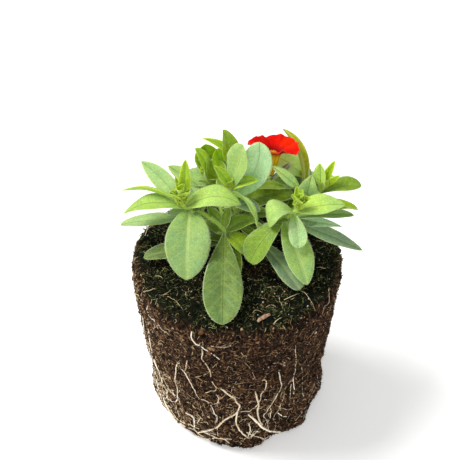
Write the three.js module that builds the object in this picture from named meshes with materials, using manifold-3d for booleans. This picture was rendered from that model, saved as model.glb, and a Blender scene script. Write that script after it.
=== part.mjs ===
// A young calibrachoa lifted out of its nursery pot: a tapered block of peat bound by white roots,
// with leafy stems standing in it and one bloom open. Millimetres, +Z up. The origin is the centre
// of the block's flat foot, and the side that faces -Y is the front.
import * as THREE from 'three';
import { mergeVertices } from 'three/addons/utils/BufferGeometryUtils.js';
import Module from 'manifold-3d';

const wasm = await Module();
wasm.setup();

// Driving dimensions, in millimetres and degrees.
const block = {
  height: 90,
  rimRadius: 48.5,
  footRadius: 38.5,
  footRound: 5,
  rimRound: 8,
  hollow: 1.6, // how far the top dips towards the stems
  columns: 44,
};
const stemRadius = 1.25;
const stemSides = 6;
const hole = { depth: 10, clearance: 0.5, sides: 10 };
const footLevel = block.height - hole.depth + 0.8; // where every stem ends in its hole
const bladeThickness = 0.75;
const bladeFold = 14; // how far the two halves of a leaf fold up
const wallGap = 0.4; // between the roots and the peat
const partGap = 0.35; // between the bloom and its stalk
const bloom = {
  throat: [16.8, 30.2, 127.2],
  leanBack: 16, // away from the front
  leanRight: 7,
  tubeLength: 12,
  tubeRadius: 1.7,
  throatRadius: 3.9,
  limbRadius: 12.2,
  cup: 3.4, // height of the limb's rim over the throat
  notch: 2.2,
  wall: 0.75,
  columns: 30,
};

const radians = THREE.MathUtils.degToRad;
const vector = (x, y, z) => new THREE.Vector3(x, y, z);

// A small seeded draw, so that every run grows the same plant.
function seeded(seed) {
  let state = seed;
  return (low, high) => {
    state = (state * 1664525 + 1013904223) % 4294967296;
    return low + ((high - low) * state) / 4294967296;
  };
}

// Solids are made from closed meshes, and joined or cut as such.
function solidFrom(positions, triangles) {
  return new wasm.Manifold(
    new wasm.Mesh({
      numProp: 3,
      vertProperties: new Float32Array(positions),
      triVerts: new Uint32Array(triangles),
    }),
  );
}

function solidOf(geometry) {
  const bare = geometry.clone();
  bare.deleteAttribute('normal');
  bare.deleteAttribute('uv');
  const merged = mergeVertices(bare, 1e-4);
  return solidFrom(merged.attributes.position.array, merged.index.array);
}

function meshOf(name, solid, material) {
  const { vertProperties, triVerts } = solid.getMesh();
  const geometry = new THREE.BufferGeometry();
  geometry.setAttribute('position', new THREE.BufferAttribute(vertProperties, 3));
  geometry.setIndex(new THREE.BufferAttribute(triVerts, 1));
  geometry.computeVertexNormals();
  const mesh = new THREE.Mesh(geometry, material);
  mesh.name = name;
  return mesh;
}

const joined = (solids) => solids.reduce((whole, next) => whole.add(next));

// Triangles of a tube of rings, each with `columns` points, from the first ring to the last.
function ringTriangles(ringStarts, columns) {
  const triangles = [];
  for (let row = 0; row + 1 < ringStarts.length; row += 1) {
    for (let column = 0; column < columns; column += 1) {
      const next = (column + 1) % columns;
      const [a, b] = [ringStarts[row] + column, ringStarts[row] + next];
      const [c, d] = [ringStarts[row + 1] + next, ringStarts[row + 1] + column];
      triangles.push(a, b, c, a, c, d);
    }
  }
  return triangles;
}

// Materials
const paint = (color, roughness) => new THREE.MeshStandardMaterial({ color, roughness, metalness: 0 });
const peat = paint(0x3a2a20, 0.95);
const rootCream = paint(0xcdbd98, 0.7);
const leafGreen = paint(0x86b24e, 0.55);
const petalRed = paint(0xe2210f, 0.5);
const stamenYellow = paint(0xd9a92a, 0.6);

// The peat block, with soft swellings and dents: angle in degrees, height, size and depth.
const dents = [
  { angle: -38, level: 26, size: 13, out: 2.2 },
  { angle: -22, level: 50, size: 14, out: -1.8 },
  { angle: -58, level: 1, size: 9, out: -2 },
  { angle: -80, level: 3, size: 10, out: 1.4 },
  { angle: -128, level: 4, size: 14, out: -1.8 },
  { angle: 60, level: 30, size: 14, out: -1.4 },
  { angle: 130, level: 58, size: 15, out: 1.2 },
  { angle: 175, level: 28, size: 14, out: -1.2 },
];

function wallSwell(angle, level) {
  const slow = 0.5 * Math.sin(3 * angle + 0.6) + 0.4 * Math.sin(5 * angle + level / 14);
  return dents.reduce((sum, dent) => {
    const across = angle - radians(dent.angle);
    const turn = Math.atan2(Math.sin(across), Math.cos(across));
    const away = Math.hypot(turn * block.footRadius, level - dent.level) / dent.size;
    return sum + dent.out * Math.exp(-away * away);
  }, slow);
}

function wallRadius(angle, level) {
  const share = level / block.height;
  const taper = block.footRadius + (block.rimRadius - block.footRadius) * share;
  const low = Math.max(0, block.footRound - level);
  const high = Math.max(0, level - (block.height - block.rimRound));
  const footIn = block.footRound - Math.sqrt(block.footRound ** 2 - low ** 2);
  const rimIn = block.rimRound - Math.sqrt(Math.max(0, block.rimRound ** 2 - high ** 2));
  return taper + wallSwell(angle, level) - footIn - rimIn;
}

function topLevel(angle, radius) {
  const x = radius * Math.cos(angle);
  const y = radius * Math.sin(angle);
  const bumps = 0.7 * Math.sin(x / 4.1 + 1) * Math.cos(y / 4.7) + 0.5 * Math.sin((x + 2 * y) / 6.3);
  const dip = block.hollow * Math.cos((Math.PI / 2) * Math.min(1, radius / 34)) ** 2;
  const edge = Math.min(1, (block.rimRadius - block.rimRound - radius) / 6);
  return block.height - 0.4 - dip + bumps * Math.max(0, edge);
}

function peatBlock(holes) {
  const wallLevels = [0, 0.9, 2.6, 5, 14, 24, 34, 44, 54, 64, 73, 82, 85.2, 87.6, 89.2];
  const topRadii = [38, 31, 23, 15];
  const positions = [0, 0, 0];
  const rings = [];
  const addRing = (at) => {
    rings.push(positions.length / 3);
    for (let column = 0; column < block.columns; column += 1) {
      positions.push(...at((2 * Math.PI * column) / block.columns));
    }
  };
  for (const level of wallLevels) {
    addRing((angle) => {
      const radius = wallRadius(angle, level);
      return [radius * Math.cos(angle), radius * Math.sin(angle), level];
    });
  }
  for (const radius of topRadii) {
    addRing((angle) => [radius * Math.cos(angle), radius * Math.sin(angle), topLevel(angle, radius)]);
  }
  const crown = positions.length / 3;
  positions.push(0, 0, topLevel(0, 0));

  const triangles = ringTriangles(rings, block.columns);
  for (let column = 0; column < block.columns; column += 1) {
    const next = (column + 1) % block.columns;
    triangles.push(0, rings[0] + next, rings[0] + column);
    triangles.push(rings.at(-1) + column, rings.at(-1) + next, crown);
  }
  return holes.reduce((left, cut) => left.subtract(cut), solidFrom(positions, triangles));
}

// A plain round hole in the top for a stem.
function stemHole([x, y]) {
  const radius = stemRadius + hole.clearance;
  const cut = new THREE.CylinderGeometry(radius, radius, 2 * hole.depth, hole.sides);
  cut.rotateX(Math.PI / 2);
  cut.translate(x, y, block.height);
  return solidOf(cut);
}

// Roots

// A point that lies `lift` outside the wall, with the way out of the wall there.
function overWall(angle, level, lift) {
  const step = 0.02;
  const radius = wallRadius(angle, level);
  const slopeUp = (wallRadius(angle, level + step) - wallRadius(angle, level - step)) / (2 * step);
  const rise = wallRadius(angle + step, level) - wallRadius(angle - step, level);
  const slopeRound = rise / (2 * step * radius);
  const out = vector(Math.cos(angle), Math.sin(angle), 0)
    .addScaledVector(vector(-Math.sin(angle), Math.cos(angle), 0), -slopeRound)
    .add(vector(0, 0, -slopeUp))
    .normalize();
  const at = vector(radius * Math.cos(angle), radius * Math.sin(angle), level);
  return { at: at.addScaledVector(out, lift), out };
}

// Long legs of a root's path are halved until each is short enough to follow the wall.
function shortLegs(path, longest) {
  return path.flatMap(([degrees, level], index) => {
    if (index === 0) return [[degrees, level]];
    const [fromDegrees, fromLevel] = path[index - 1];
    const leg = Math.hypot(radians(degrees - fromDegrees) * block.footRadius, level - fromLevel);
    const pieces = Math.ceil(leg / longest);
    return Array.from({ length: pieces }, (_, piece) => {
      const share = (piece + 1) / pieces;
      return [fromDegrees + (degrees - fromDegrees) * share, fromLevel + (level - fromLevel) * share];
    });
  });
}

// One root: a four-sided cord that follows the wall through points of [degrees, level].
function rootSolid(path, thick, thin) {
  const knots = shortLegs(path, 9.5);
  const last = knots.length - 1;
  const positions = [];
  const rings = knots.map(([degrees, level], index) => {
    const radius = thick + ((thin - thick) * index) / last;
    const angle = radians(degrees);
    const { at, out } = overWall(angle, level, radius + wallGap);
    const [fromDegrees, fromLevel] = knots[Math.max(0, index - 1)];
    const [toDegrees, toLevel] = knots[Math.min(last, index + 1)];
    const side = vector(-Math.sin(angle), Math.cos(angle), 0)
      .multiplyScalar(radians(toDegrees - fromDegrees) * block.footRadius)
      .add(vector(0, 0, toLevel - fromLevel))
      .cross(out)
      .normalize();
    for (const [outward, sideways] of [[1, 0], [0, 1], [-1, 0], [0, -1]]) {
      const corner = at.clone().addScaledVector(out, outward * radius);
      positions.push(...corner.addScaledVector(side, sideways * radius).toArray());
    }
    return 4 * index;
  });
  const end = 4 * last;
  const caps = [0, 2, 1, 0, 3, 2, end, end + 1, end + 2, end, end + 2, end + 3];
  return solidFrom(positions, [...ringTriangles(rings, 4), ...caps]);
}

// Half the thickness of a root where it starts and where it ends.
const rootSize = { main: 0.8, middle: 0.65, fine: 0.5 };
const rootEnd = { main: 0.75, middle: 0.45, fine: 0.45 };

// The height of the long roots that circle the foot.
const ringLevel = (degrees) => {
  const turn = radians(degrees);
  return 4.7 + 1.5 * Math.sin(4 * turn) + 0.6 * Math.sin(11 * turn);
};

// A path that runs on down to the circling roots.
const toRing = (path, degrees) => [...path, [degrees, ringLevel(degrees)]];

function circlingRoots() {
  return [-200, -80, 40].map((start) => {
    const path = [];
    for (let degrees = start; degrees <= start + 130; degrees += 10) {
      path.push([degrees, ringLevel(degrees)]);
    }
    return { size: 'main', path };
  });
}

// The roots at the front, as points of [degrees round the block, height]. A branch starts on a
// point of the root that carries it.
const frontRoots = [
  {
    size: 'middle',
    path: toRing(
      [[-109, 76], [-110, 68], [-105, 57], [-103, 51], [-106, 45], [-112, 40], [-108, 33], [-103, 26]],
      -103,
    ),
  },
  { size: 'fine', path: [[-109, 76], [-112, 80], [-114, 86]] },
  { size: 'fine', path: [[-109, 76], [-105, 74], [-100, 69]] },
  {
    size: 'middle',
    path: toRing([[-127, 60], [-129, 49], [-132, 39], [-130, 33], [-132, 26], [-127, 16]], -124),
  },
  { size: 'fine', path: [[-130, 33], [-126, 43], [-122, 53], [-120, 61]] },
  { size: 'fine', path: [[-108, 33], [-114, 41], [-118, 47], [-125, 56]] },
  { size: 'middle', path: toRing([[-161, 62], [-158, 47], [-152, 38], [-145, 30], [-145, 21]], -148) },
  { size: 'fine', path: [[-152, 38], [-163, 33], [-168, 42]] },
  { size: 'fine', path: [[-132, 26], [-139, 20], [-146, 14]] },
  { size: 'fine', path: [[-127, 16], [-121, 17], [-118, 11]] },
  {
    size: 'main',
    path: toRing(
      [[-97, 50], [-93, 43], [-89, 38], [-89, 31], [-95, 27], [-101, 23], [-104, 17], [-113, 9]],
      -119,
    ),
  },
  { size: 'middle', path: toRing([[-89, 31], [-91, 24], [-90, 18], [-85, 13]], -82) },
  { size: 'fine', path: [[-90, 18], [-86, 23], [-81, 25], [-76, 25]] },
  { size: 'middle', path: [[-89, 31], [-81, 31], [-76, 37], [-72, 48], [-73, 54]] },
  { size: 'main', path: toRing([[-78, 46], [-76, 37], [-76, 25], [-74, 18], [-68, 11]], -58) },
  {
    size: 'middle',
    path: toRing([[-65, 61], [-63, 51], [-61, 45], [-67, 32], [-66, 24], [-68, 19]], -67),
  },
  {
    size: 'middle',
    path: toRing([[-55, 72], [-55, 62], [-52, 56], [-54, 47], [-58, 38], [-61, 26], [-64, 18]], -62),
  },
  { size: 'fine', path: [[-54, 47], [-51, 38], [-52, 24]] },
  { size: 'fine', path: toRing([[-47, 55], [-45, 41], [-41, 29], [-38, 20]], -40) },
  { size: 'fine', path: [[-61, 26], [-57, 19], [-51, 14]] },
  { size: 'fine', path: [[-82, ringLevel(-82)], [-80, 12], [-79, 18]] },
];

// Elsewhere each root wanders down by rule to the circling roots, and forks on the way.
function wanderingRoots(random) {
  return [-22, 1, 24, 47, 70, 93, 116, 139, 162].flatMap((start) => {
    const top = random(40, 74);
    const drift = random(-8, 8);
    const path = [0, 1, 2, 3].map((bend) => [
      start + drift * bend * 0.25 + random(-3, 3),
      top + (4 - top) * bend * 0.25,
    ]);
    const fork = path[random(0, 1) < 0.5 ? 1 : 2];
    const way = random(0, 1) < 0.5 ? -1 : 1;
    const branch = [fork, [fork[0] + 6 * way, fork[1] - 6], [fork[0] + 9 * way, fork[1] - random(12, 18)]];
    return [
      { size: 'middle', path: toRing(path, start + drift) },
      { size: 'fine', path: branch },
    ];
  });
}

function rootNet() {
  const roots = [...circlingRoots(), ...frontRoots, ...wanderingRoots(seeded(11))];
  return joined(roots.map(({ size, path }) => rootSolid(path, rootSize[size], rootEnd[size])));
}

// Leaves

// A leaf's outline widens as share^base and closes as (1 - share)^tip.
const outlines = {
  spoon: { base: 1.25, tip: 0.62 },
  oval: { base: 0.7, tip: 0.62 },
  lance: { base: 0.85, tip: 0.85 },
  wedge: { base: 0.35, tip: 0.9 },
  young: { base: 0.6, tip: 0.8 },
};

function halfWidth(outline, width, share) {
  const { base, tip } = outlines[outline];
  const widest = base / (base + tip);
  const open = (share / widest) ** base * ((1 - share) / (1 - widest)) ** tip;
  return Math.max(0.5, (width / 2) * open);
}

// A leaf runs from `from` to `tip`, bowed off the straight line upward by `arch` and to its left by
// `swing`. `roll` lifts its left margin, in degrees.
function leafSolid(from, tip, arch, width, roll, outline, swing = 0) {
  const rows = Math.min(6, Math.max(2, Math.round(from.distanceTo(tip) / 5)));
  const fold = Math.tan(radians(bladeFold));
  const chord = tip.clone().sub(from);
  const reach = Math.hypot(chord.x, chord.y);
  const ahead = vector(chord.x / reach, chord.y / reach, 0);
  const bow = ahead.clone().multiplyScalar(-chord.z).add(vector(0, 0, reach)).normalize();
  const level = vector(-ahead.y, ahead.x, 0);
  const sag = bow.multiplyScalar(4 * arch).addScaledVector(level, 4 * swing);
  const upper = [];
  const lower = [];
  for (let row = 0; row <= rows; row += 1) {
    const share = 0.985 * (1 - (1 - row / rows) ** 1.3);
    const at = from.clone().addScaledVector(chord, share).addScaledVector(sag, share * (1 - share));
    const along = chord.clone().addScaledVector(sag, 1 - 2 * share).normalize();
    const side = level.clone().projectOnPlane(along).normalize().applyAxisAngle(along, radians(roll));
    const up = along.clone().cross(side).normalize();
    const half = halfWidth(outline, width, share);
    for (const across of [-1, 0, 1]) {
      const point = at.clone().addScaledVector(side, across * half);
      point.addScaledVector(up, Math.abs(across) * half * fold);
      upper.push(...point.clone().addScaledVector(up, bladeThickness / 2).toArray());
      lower.push(...point.addScaledVector(up, -bladeThickness / 2).toArray());
    }
  }
  return solidFrom([...upper, ...lower], bladeTriangles(rows));
}

// Both faces of a blade are split alike, so that its thickness is the same all over.
function bladeTriangles(rows) {
  const low = 3 * (rows + 1);
  const triangles = [];
  for (let row = 0; row < rows; row += 1) {
    for (const column of [0, 1]) {
      const [a, b] = [3 * row + column, 3 * row + 3 + column];
      triangles.push(a, b, b + 1, a, b + 1, a + 1);
      triangles.push(low + a, low + b + 1, low + b, low + a, low + a + 1, low + b + 1);
    }
    const right = 3 * row;
    const left = right + 2;
    triangles.push(right, low + right, low + right + 3, right, low + right + 3, right + 3);
    triangles.push(left, low + left + 3, low + left, left, left + 3, low + left + 3);
  }
  for (const column of [0, 1]) {
    const tip = 3 * rows + column;
    triangles.push(column, column + 1, low + column + 1, column, low + column + 1, low + column);
    triangles.push(tip, low + tip + 1, tip + 1, tip, low + tip, low + tip + 1);
  }
  return triangles;
}

// Each stem stands in its own hole at `foot` and climbs through the points of `way`. A leaf is
// [height at which it leaves the stem, its tip, arch, width, roll, outline, and swing where it has one].
const stems = {
  shoot_left: {
    foot: [-6, 1],
    way: [[-5.7, 1, 105], [-14, 3.6, 112], [-20.7, 3.4, 115.5], [-24.6, 3.2, 118]],
    leaves: [
      [105, [-6.3, -44.6, 91.4], 2.5, 17.5, 0, 'spoon'],
      [104, [9.6, 5.6, 107.5], 2, 9, 0, 'oval'],
      [102, [5, -8, 96.5], 3, 8.5, -15, 'oval'],
      [99, [0.8, -18, 93.5], 2, 8, 10, 'lance'],
      [97, [-41.8, -4.3, 93.2], 1.5, 11, 0, 'spoon'],
      [110, [-53, 13, 98.5], 1.5, 8, 0, 'spoon'],
      [113, [-31, 7.4, 109], 1.5, 7, 0, 'oval'],
      [115.5, [-22, -22.7, 97], 3.5, 20, 0, 'oval'],
      [116.5, [2, 5, 116.5], 4.5, 14, 0, 'oval'],
      [106, [-13, 10, 111], 1, 5, 0, 'oval'],
      [105, [-3.5, 9, 111.5], 1, 4.5, 0, 'oval'],
      [116, [-50.7, 6.3, 110], 5, 10, 0, 'oval'],
      [117, [-43, 24, 126], 2, 9.5, -15, 'oval'],
      [116.5, [-51.6, 14, 117], 5, 8, 36, 'lance'],
      [117, [-22.4, 10.4, 138], 1, 5, 0, 'lance'],
    ],
    young: { count: 6, size: 13, turn: 60 },
  },
  shoot_centre: {
    foot: [0.5, 12.5],
    way: [[0, 13.6, 104], [-2, 14, 113], [-3, 13, 119.5]],
    leaves: [
      [119, [3.2, 14.6, 143], -0.5, 11.5, 30, 'oval'],
      [113, [9.5, 15.1, 144], -4, 12.5, 70, 'oval'],
      [119, [-10.7, 13, 134], 1, 4.5, -50, 'lance'],
      [119, [9.3, 12.4, 131], 1.5, 5.5, 25, 'oval'],
      [116, [9.4, -1.8, 107.8], 7.5, 8, -45, 'lance'],
      [107, [25.6, 17.9, 110], 3, 12, 0, 'oval'],
      [109, [10.5, 7, 111], 1.5, 6.5, 20, 'oval'],
    ],
    young: { count: 3, size: 7, turn: 40 },
  },
  shoot_back_left: {
    foot: [-5, 9.5],
    way: [[-6, 14, 101], [-10, 24, 108], [-14.3, 30, 113]],
    leaves: [
      [112, [-14.4, 31.5, 125], 0.5, 4, 0, 'oval'],
      [112, [-19, 30.5, 128.5], 2, 5, -55, 'oval'],
      [112, [-15.5, 36, 127], 3, 9.5, 10, 'oval'],
      [105, [-31.5, 34, 115], 1.5, 9, -10, 'oval'],
      [108, [-20, 47, 103], 4, 9, 0, 'oval'],
    ],
    young: { count: 4, size: 8, turn: 20 },
  },
  shoot_back: {
    foot: [-0.5, 18],
    way: [[-0.5, 22, 102], [0, 29, 109], [0.5, 34, 114]],
    leaves: [
      [113, [-6, 38, 132], -1.5, 12, -30, 'oval'],
      [113, [-15.8, 33.5, 129.5], 3, 4, -20, 'lance'],
      [112, [-13, 30.5, 125], 2.5, 9, -45, 'oval'],
      [108.5, [-8, 29.5, 117], 1, 9, 0, 'oval'],
      [109, [6, 51, 101], 4, 9, 0, 'oval'],
      [107, [19, 45, 103], 4, 8, 0, 'oval'],
    ],
    young: { count: 3, size: 7, turn: 50 },
  },
  shoot_upright: {
    foot: [10, 10],
    way: [[18.5, 15.5, 101], [27, 22, 107], [31, 26.5, 109.7], [30.6, 31.5, 111]],
    leaves: [
      [110.9, [21.2, 46.5, 127], 3.6, 6.4, 8, 'lance', -3.4],
      [108.6, [17.5, 20.6, 126], 1.5, 6, -20, 'lance'],
      [109.4, [6.4, 14.8, 118], 1, 6.8, 0, 'oval'],
      [110.9, [20.5, 39, 118], 2, 10, 0, 'oval'],
      [108, [39, 43, 102], 4, 9, 0, 'oval'],
    ],
    young: { count: 3, size: 6, turn: 40 },
  },
  shoot_right: {
    foot: [5, 0],
    way: [[10, 0, 103], [18.5, -0.5, 111], [23, -0.8, 115], [27.4, -0.6, 119]],
    leaves: [
      [117.5, [47.9, 4.5, 117], 1.5, 12, 5, 'oval'],
      [117, [14.2, -4.8, 112.8], 6, 12, 5, 'oval'],
      [116.5, [27.1, -14.9, 109], 2.5, 8.5, 0, 'spoon'],
      [113.5, [30.8, -23.8, 95], 1.5, 13, 0, 'oval'],
      [114.5, [53.5, 10.3, 110], 4, 7.5, 0, 'oval'],
      [112, [52.2, 9, 107], 2, 7, 0, 'lance'],
      [113, [55.8, -3.1, 97], 4, 8, 0, 'lance'],
      [107, [46.7, 7.1, 102], 2, 7, 0, 'lance'],
      [113.5, [5.5, -13.6, 99], 3, 13.5, 0, 'oval'],
      [101, [27.7, -24.7, 92.8], 2, 9, 0, 'oval'],
    ],
    young: { count: 6, size: 10, turn: 10 },
  },
  shoot_back_right: {
    foot: [10, 4],
    way: [[19, 8.5, 102], [32, 15, 108.5], [39, 19.5, 113.5]],
    leaves: [
      [111.5, [56.7, 23.2, 113], 2, 9.5, 5, 'spoon'],
      [113, [44, 21.8, 128], 0.5, 3.6, 30, 'oval'],
      [112.5, [37.3, 21.3, 127], 0.5, 6.5, -40, 'oval'],
      [108, [33.6, 17.9, 123], 0.5, 11, 25, 'wedge'],
      [113, [46.8, 22.5, 119], 0.5, 3, 20, 'lance'],
      [111, [32.7, 23.5, 123], 0.5, 3, -50, 'lance'],
      [111, [46, 37, 106], 4, 9, 0, 'oval'],
    ],
    young: { count: 4, size: 8, turn: 80 },
  },
};

function stemCurve([x, y], way) {
  const hidden = [vector(x, y, footLevel), vector(x, y, block.height - 1)];
  const shown = way.map((point) => vector(...point));
  return new THREE.CatmullRomCurve3([...hidden, ...shown], false, 'centripetal');
}

// The point of a climbing stem at a given height.
function atHeight(curve, height) {
  let [low, high] = [0, 1];
  for (let halving = 0; halving < 20; halving += 1) {
    const middle = (low + high) / 2;
    if (curve.getPointAt(middle).z < height) low = middle;
    else high = middle;
  }
  return curve.getPointAt(low);
}

function stemSolid(curve, radius = stemRadius) {
  const corners = Array.from({ length: stemSides }, (_, side) => {
    const angle = (2 * Math.PI * side) / stemSides;
    return new THREE.Vector2(radius * Math.cos(angle), radius * Math.sin(angle));
  });
  const steps = Math.ceil(curve.getLength() / 5.5);
  const shape = new THREE.Shape(corners);
  return solidOf(new THREE.ExtrudeGeometry(shape, { steps, bevelEnabled: false, extrudePath: curve }));
}

// The tuft of small leaves at a stem's tip, each a golden turn on from the last.
function youngLeaves(from, { count, size, turn }) {
  return Array.from({ length: count }, (_, index) => {
    const share = index / count;
    const heading = radians(turn + 137.5 * index);
    const reach = 1.2 + 0.4 * size * (1 - share);
    const rise = size * (0.6 + 0.4 * share);
    const tip = vector(reach * Math.cos(heading), reach * Math.sin(heading), rise).add(from);
    return leafSolid(from, tip, 0.4, 1.2 + 0.25 * size, 0, 'young');
  });
}

function leafyStem({ foot, way, leaves, young }) {
  const curve = stemCurve(foot, way);
  const blades = leaves.map(([height, tip, ...form]) => {
    return leafSolid(atHeight(curve, height), vector(...tip), ...form);
  });
  return joined([stemSolid(curve), ...blades, ...youngLeaves(curve.getPointAt(1), young)]);
}

// The bloom: a funnel of five joined petals. Its own frame has +Z along the tube.
const bloomTurn = new THREE.Quaternion().setFromEuler(
  new THREE.Euler(-radians(bloom.leanBack), radians(bloom.leanRight), 0, 'XYZ'),
);
const inBloom = (x, y, z) =>
  vector(x, y, z - bloom.tubeLength).applyQuaternion(bloomTurn).add(vector(...bloom.throat));

// The middle of the petal wall, from the foot of the tube (share 0) to the rim (share 1).
function petalPoint(share, angle) {
  const tube = new THREE.CatmullRomCurve3([
    vector(1.2, 0, 0.45),
    vector(bloom.tubeRadius, 0, 1.9),
    vector(2.2, 0, 5),
    vector(2.9, 0, 9),
    vector(bloom.throatRadius, 0, bloom.tubeLength),
    vector(6.4, 0, bloom.tubeLength + 1.4),
    vector(9.4, 0, bloom.tubeLength + 2.2),
    vector(bloom.limbRadius, 0, bloom.tubeLength + bloom.cup),
  ], false, 'centripetal').getPoint(share);
  const open = Math.max(0, (tube.x - bloom.throatRadius) / (bloom.limbRadius - bloom.throatRadius));
  const lobe = Math.abs(Math.cos(2.5 * angle + 1.1));
  const radius = tube.x - bloom.notch * open ** 3 * (1 - lobe) ** 1.4;
  const wave = open ** 2 * (0.8 * (1 - lobe) - 0.5 + 0.5 * Math.sin(angle + 2) + 0.35 * Math.sin(2 * angle));
  return vector(radius * Math.cos(angle), radius * Math.sin(angle), tube.z + wave);
}

function petalOut(share, angle) {
  const step = 1e-3;
  const behind = petalPoint(Math.max(0, share - step), angle);
  const along = petalPoint(Math.min(1, share + step), angle).sub(behind);
  const around = petalPoint(share, angle + step).sub(petalPoint(share, angle - step));
  return around.cross(along).normalize();
}

function corollaSolid() {
  const shares = [0, 0.1, 0.28, 0.43, 0.57, 0.65, 0.74, 0.84, 0.93, 1];
  const positions = [];
  const rings = [];
  const addRing = (share, lift) => {
    rings.push(positions.length / 3);
    for (let column = 0; column < bloom.columns; column += 1) {
      const angle = (2 * Math.PI * column) / bloom.columns;
      const point = petalPoint(share, angle).addScaledVector(petalOut(share, angle), lift);
      positions.push(...inBloom(...point.toArray()).toArray());
    }
  };
  for (const share of shares) addRing(share, bloom.wall / 2);
  for (const share of shares.toReversed()) addRing(share, -bloom.wall / 2);
  const outerFoot = positions.length / 3;
  positions.push(...inBloom(0, 0, 0).toArray(), ...inBloom(0, 0, 0.85).toArray());
  const triangles = ringTriangles(rings, bloom.columns);
  for (let column = 0; column < bloom.columns; column += 1) {
    const next = (column + 1) % bloom.columns;
    triangles.push(outerFoot, rings[0] + next, rings[0] + column);
    triangles.push(outerFoot + 1, rings.at(-1) + column, rings.at(-1) + next);
  }
  return solidFrom(positions, triangles);
}

// The stamens stand as one column in the throat, with five anthers round a knob.
function stamenSolid() {
  const inTube = (geometry, x, y, z) => {
    const place = new THREE.Matrix4().makeRotationFromQuaternion(bloomTurn).setPosition(inBloom(x, y, z));
    return solidOf(geometry.applyMatrix4(place));
  };
  const column = new THREE.CylinderGeometry(0.75, 0.5, 9.6, 6).rotateX(Math.PI / 2);
  const anthers = [0, 1, 2, 3, 4].map((index) => {
    const angle = (2 * Math.PI * index) / 5;
    const anther = new THREE.OctahedronGeometry(0.95, 0).rotateX(0.3).rotateZ(angle + 0.4);
    return inTube(anther, 1.15 * Math.cos(angle), 1.15 * Math.sin(angle), 10.8 + 0.12 * index);
  });
  const knob = inTube(new THREE.OctahedronGeometry(1.1, 0).rotateX(0.25).rotateY(0.2), 0, 0, 11.7);
  return joined([inTube(column, 0, 0, 6), ...anthers, knob]);
}

// The stalk that carries the bloom, with its narrow sepals and a closed bud beside it.
function flowerStalk(foot) {
  const top = inBloom(0, 0, -partGap - 0.3);
  const below = inBloom(0, 0, -5);
  const curve = stemCurve(foot, [[7, 18, 101], below.toArray(), top.toArray()]);
  const sepals = [0, 1, 2, 3, 4].map((index) => {
    const angle = radians(72 * index + 20);
    const tip = inBloom(5.6 * Math.cos(angle), 5.6 * Math.sin(angle), 4);
    return leafSolid(inBloom(0, 0, -3), tip, -1.6, 2, 0, 'young');
  });
  const profile = [[0, 0], [0.8, 1.4], [1.1, 4], [1.3, 8], [0.8, 12], [0, 14.5]];
  const turned = profile.map(([radius, height]) => new THREE.Vector2(radius, height));
  const bud = new THREE.LatheGeometry(turned, 7);
  const from = inBloom(0.4, -0.8, -3.2);
  const towards = vector(25.3, 26.2, 124).sub(from).normalize();
  const turn = new THREE.Quaternion().setFromUnitVectors(vector(0, 1, 0), towards);
  bud.applyQuaternion(turn).translate(...from.toArray());
  return joined([stemSolid(curve), ...sepals, solidOf(bud)]);
}

const flowerFoot = [4.5, 14.5];
const feet = [...Object.values(stems).map(({ foot }) => foot), flowerFoot];

const plant = new THREE.Group();
plant.name = 'potted_calibrachoa';
plant.add(meshOf('peat_block', peatBlock(feet.map(stemHole)), peat));
plant.add(meshOf('root_net', rootNet(), rootCream));
for (const [name, stem] of Object.entries(stems)) {
  plant.add(meshOf(name, leafyStem(stem), leafGreen));
}
plant.add(meshOf('shoot_flower', flowerStalk(flowerFoot), leafGreen));
plant.add(meshOf('corolla', corollaSolid(), petalRed));
plant.add(meshOf('stamens', stamenSolid(), stamenYellow));

export default plant;
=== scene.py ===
import math
import bpy
import numpy as np
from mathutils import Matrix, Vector
from mathutils.bvhtree import BVHTree


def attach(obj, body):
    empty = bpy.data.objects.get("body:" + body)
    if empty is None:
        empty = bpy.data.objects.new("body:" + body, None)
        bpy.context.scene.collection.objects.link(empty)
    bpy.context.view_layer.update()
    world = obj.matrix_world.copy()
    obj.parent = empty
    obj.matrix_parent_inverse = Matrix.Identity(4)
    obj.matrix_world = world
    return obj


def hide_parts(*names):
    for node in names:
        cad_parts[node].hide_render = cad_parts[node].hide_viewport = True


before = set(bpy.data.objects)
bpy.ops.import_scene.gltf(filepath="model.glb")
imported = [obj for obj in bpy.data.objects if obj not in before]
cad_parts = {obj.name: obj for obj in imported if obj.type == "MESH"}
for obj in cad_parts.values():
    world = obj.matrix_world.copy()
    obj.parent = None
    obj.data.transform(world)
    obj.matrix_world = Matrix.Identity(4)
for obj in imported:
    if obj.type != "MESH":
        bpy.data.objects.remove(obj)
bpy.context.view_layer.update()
print("frame loaded:", len(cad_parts), "nodes")

# A young calibrachoa on its bare root ball. Sizes here are in millimetres, made into metres piece by piece.
metre = 0.001

# Helpers


def unit(vectors):
    return vectors / np.maximum(np.linalg.norm(vectors, axis=-1, keepdims=True), 1e-9)


def smoothStep(low, high, value):
    share = np.clip((value - low) / (high - low), 0, 1)
    return share * share * (3 - 2 * share)


def polar(radius, angle, level):
    # points at this distance and angle from the upright axis
    return np.stack([radius * np.cos(angle), radius * np.sin(angle), level + 0 * angle], -1)


def between(rows):
    # the inner points, each drawn halfway to its neighbours
    return 0.25 * rows[..., :-2, :] + 0.5 * rows[..., 1:-1, :] + 0.25 * rows[..., 2:, :]


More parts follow.
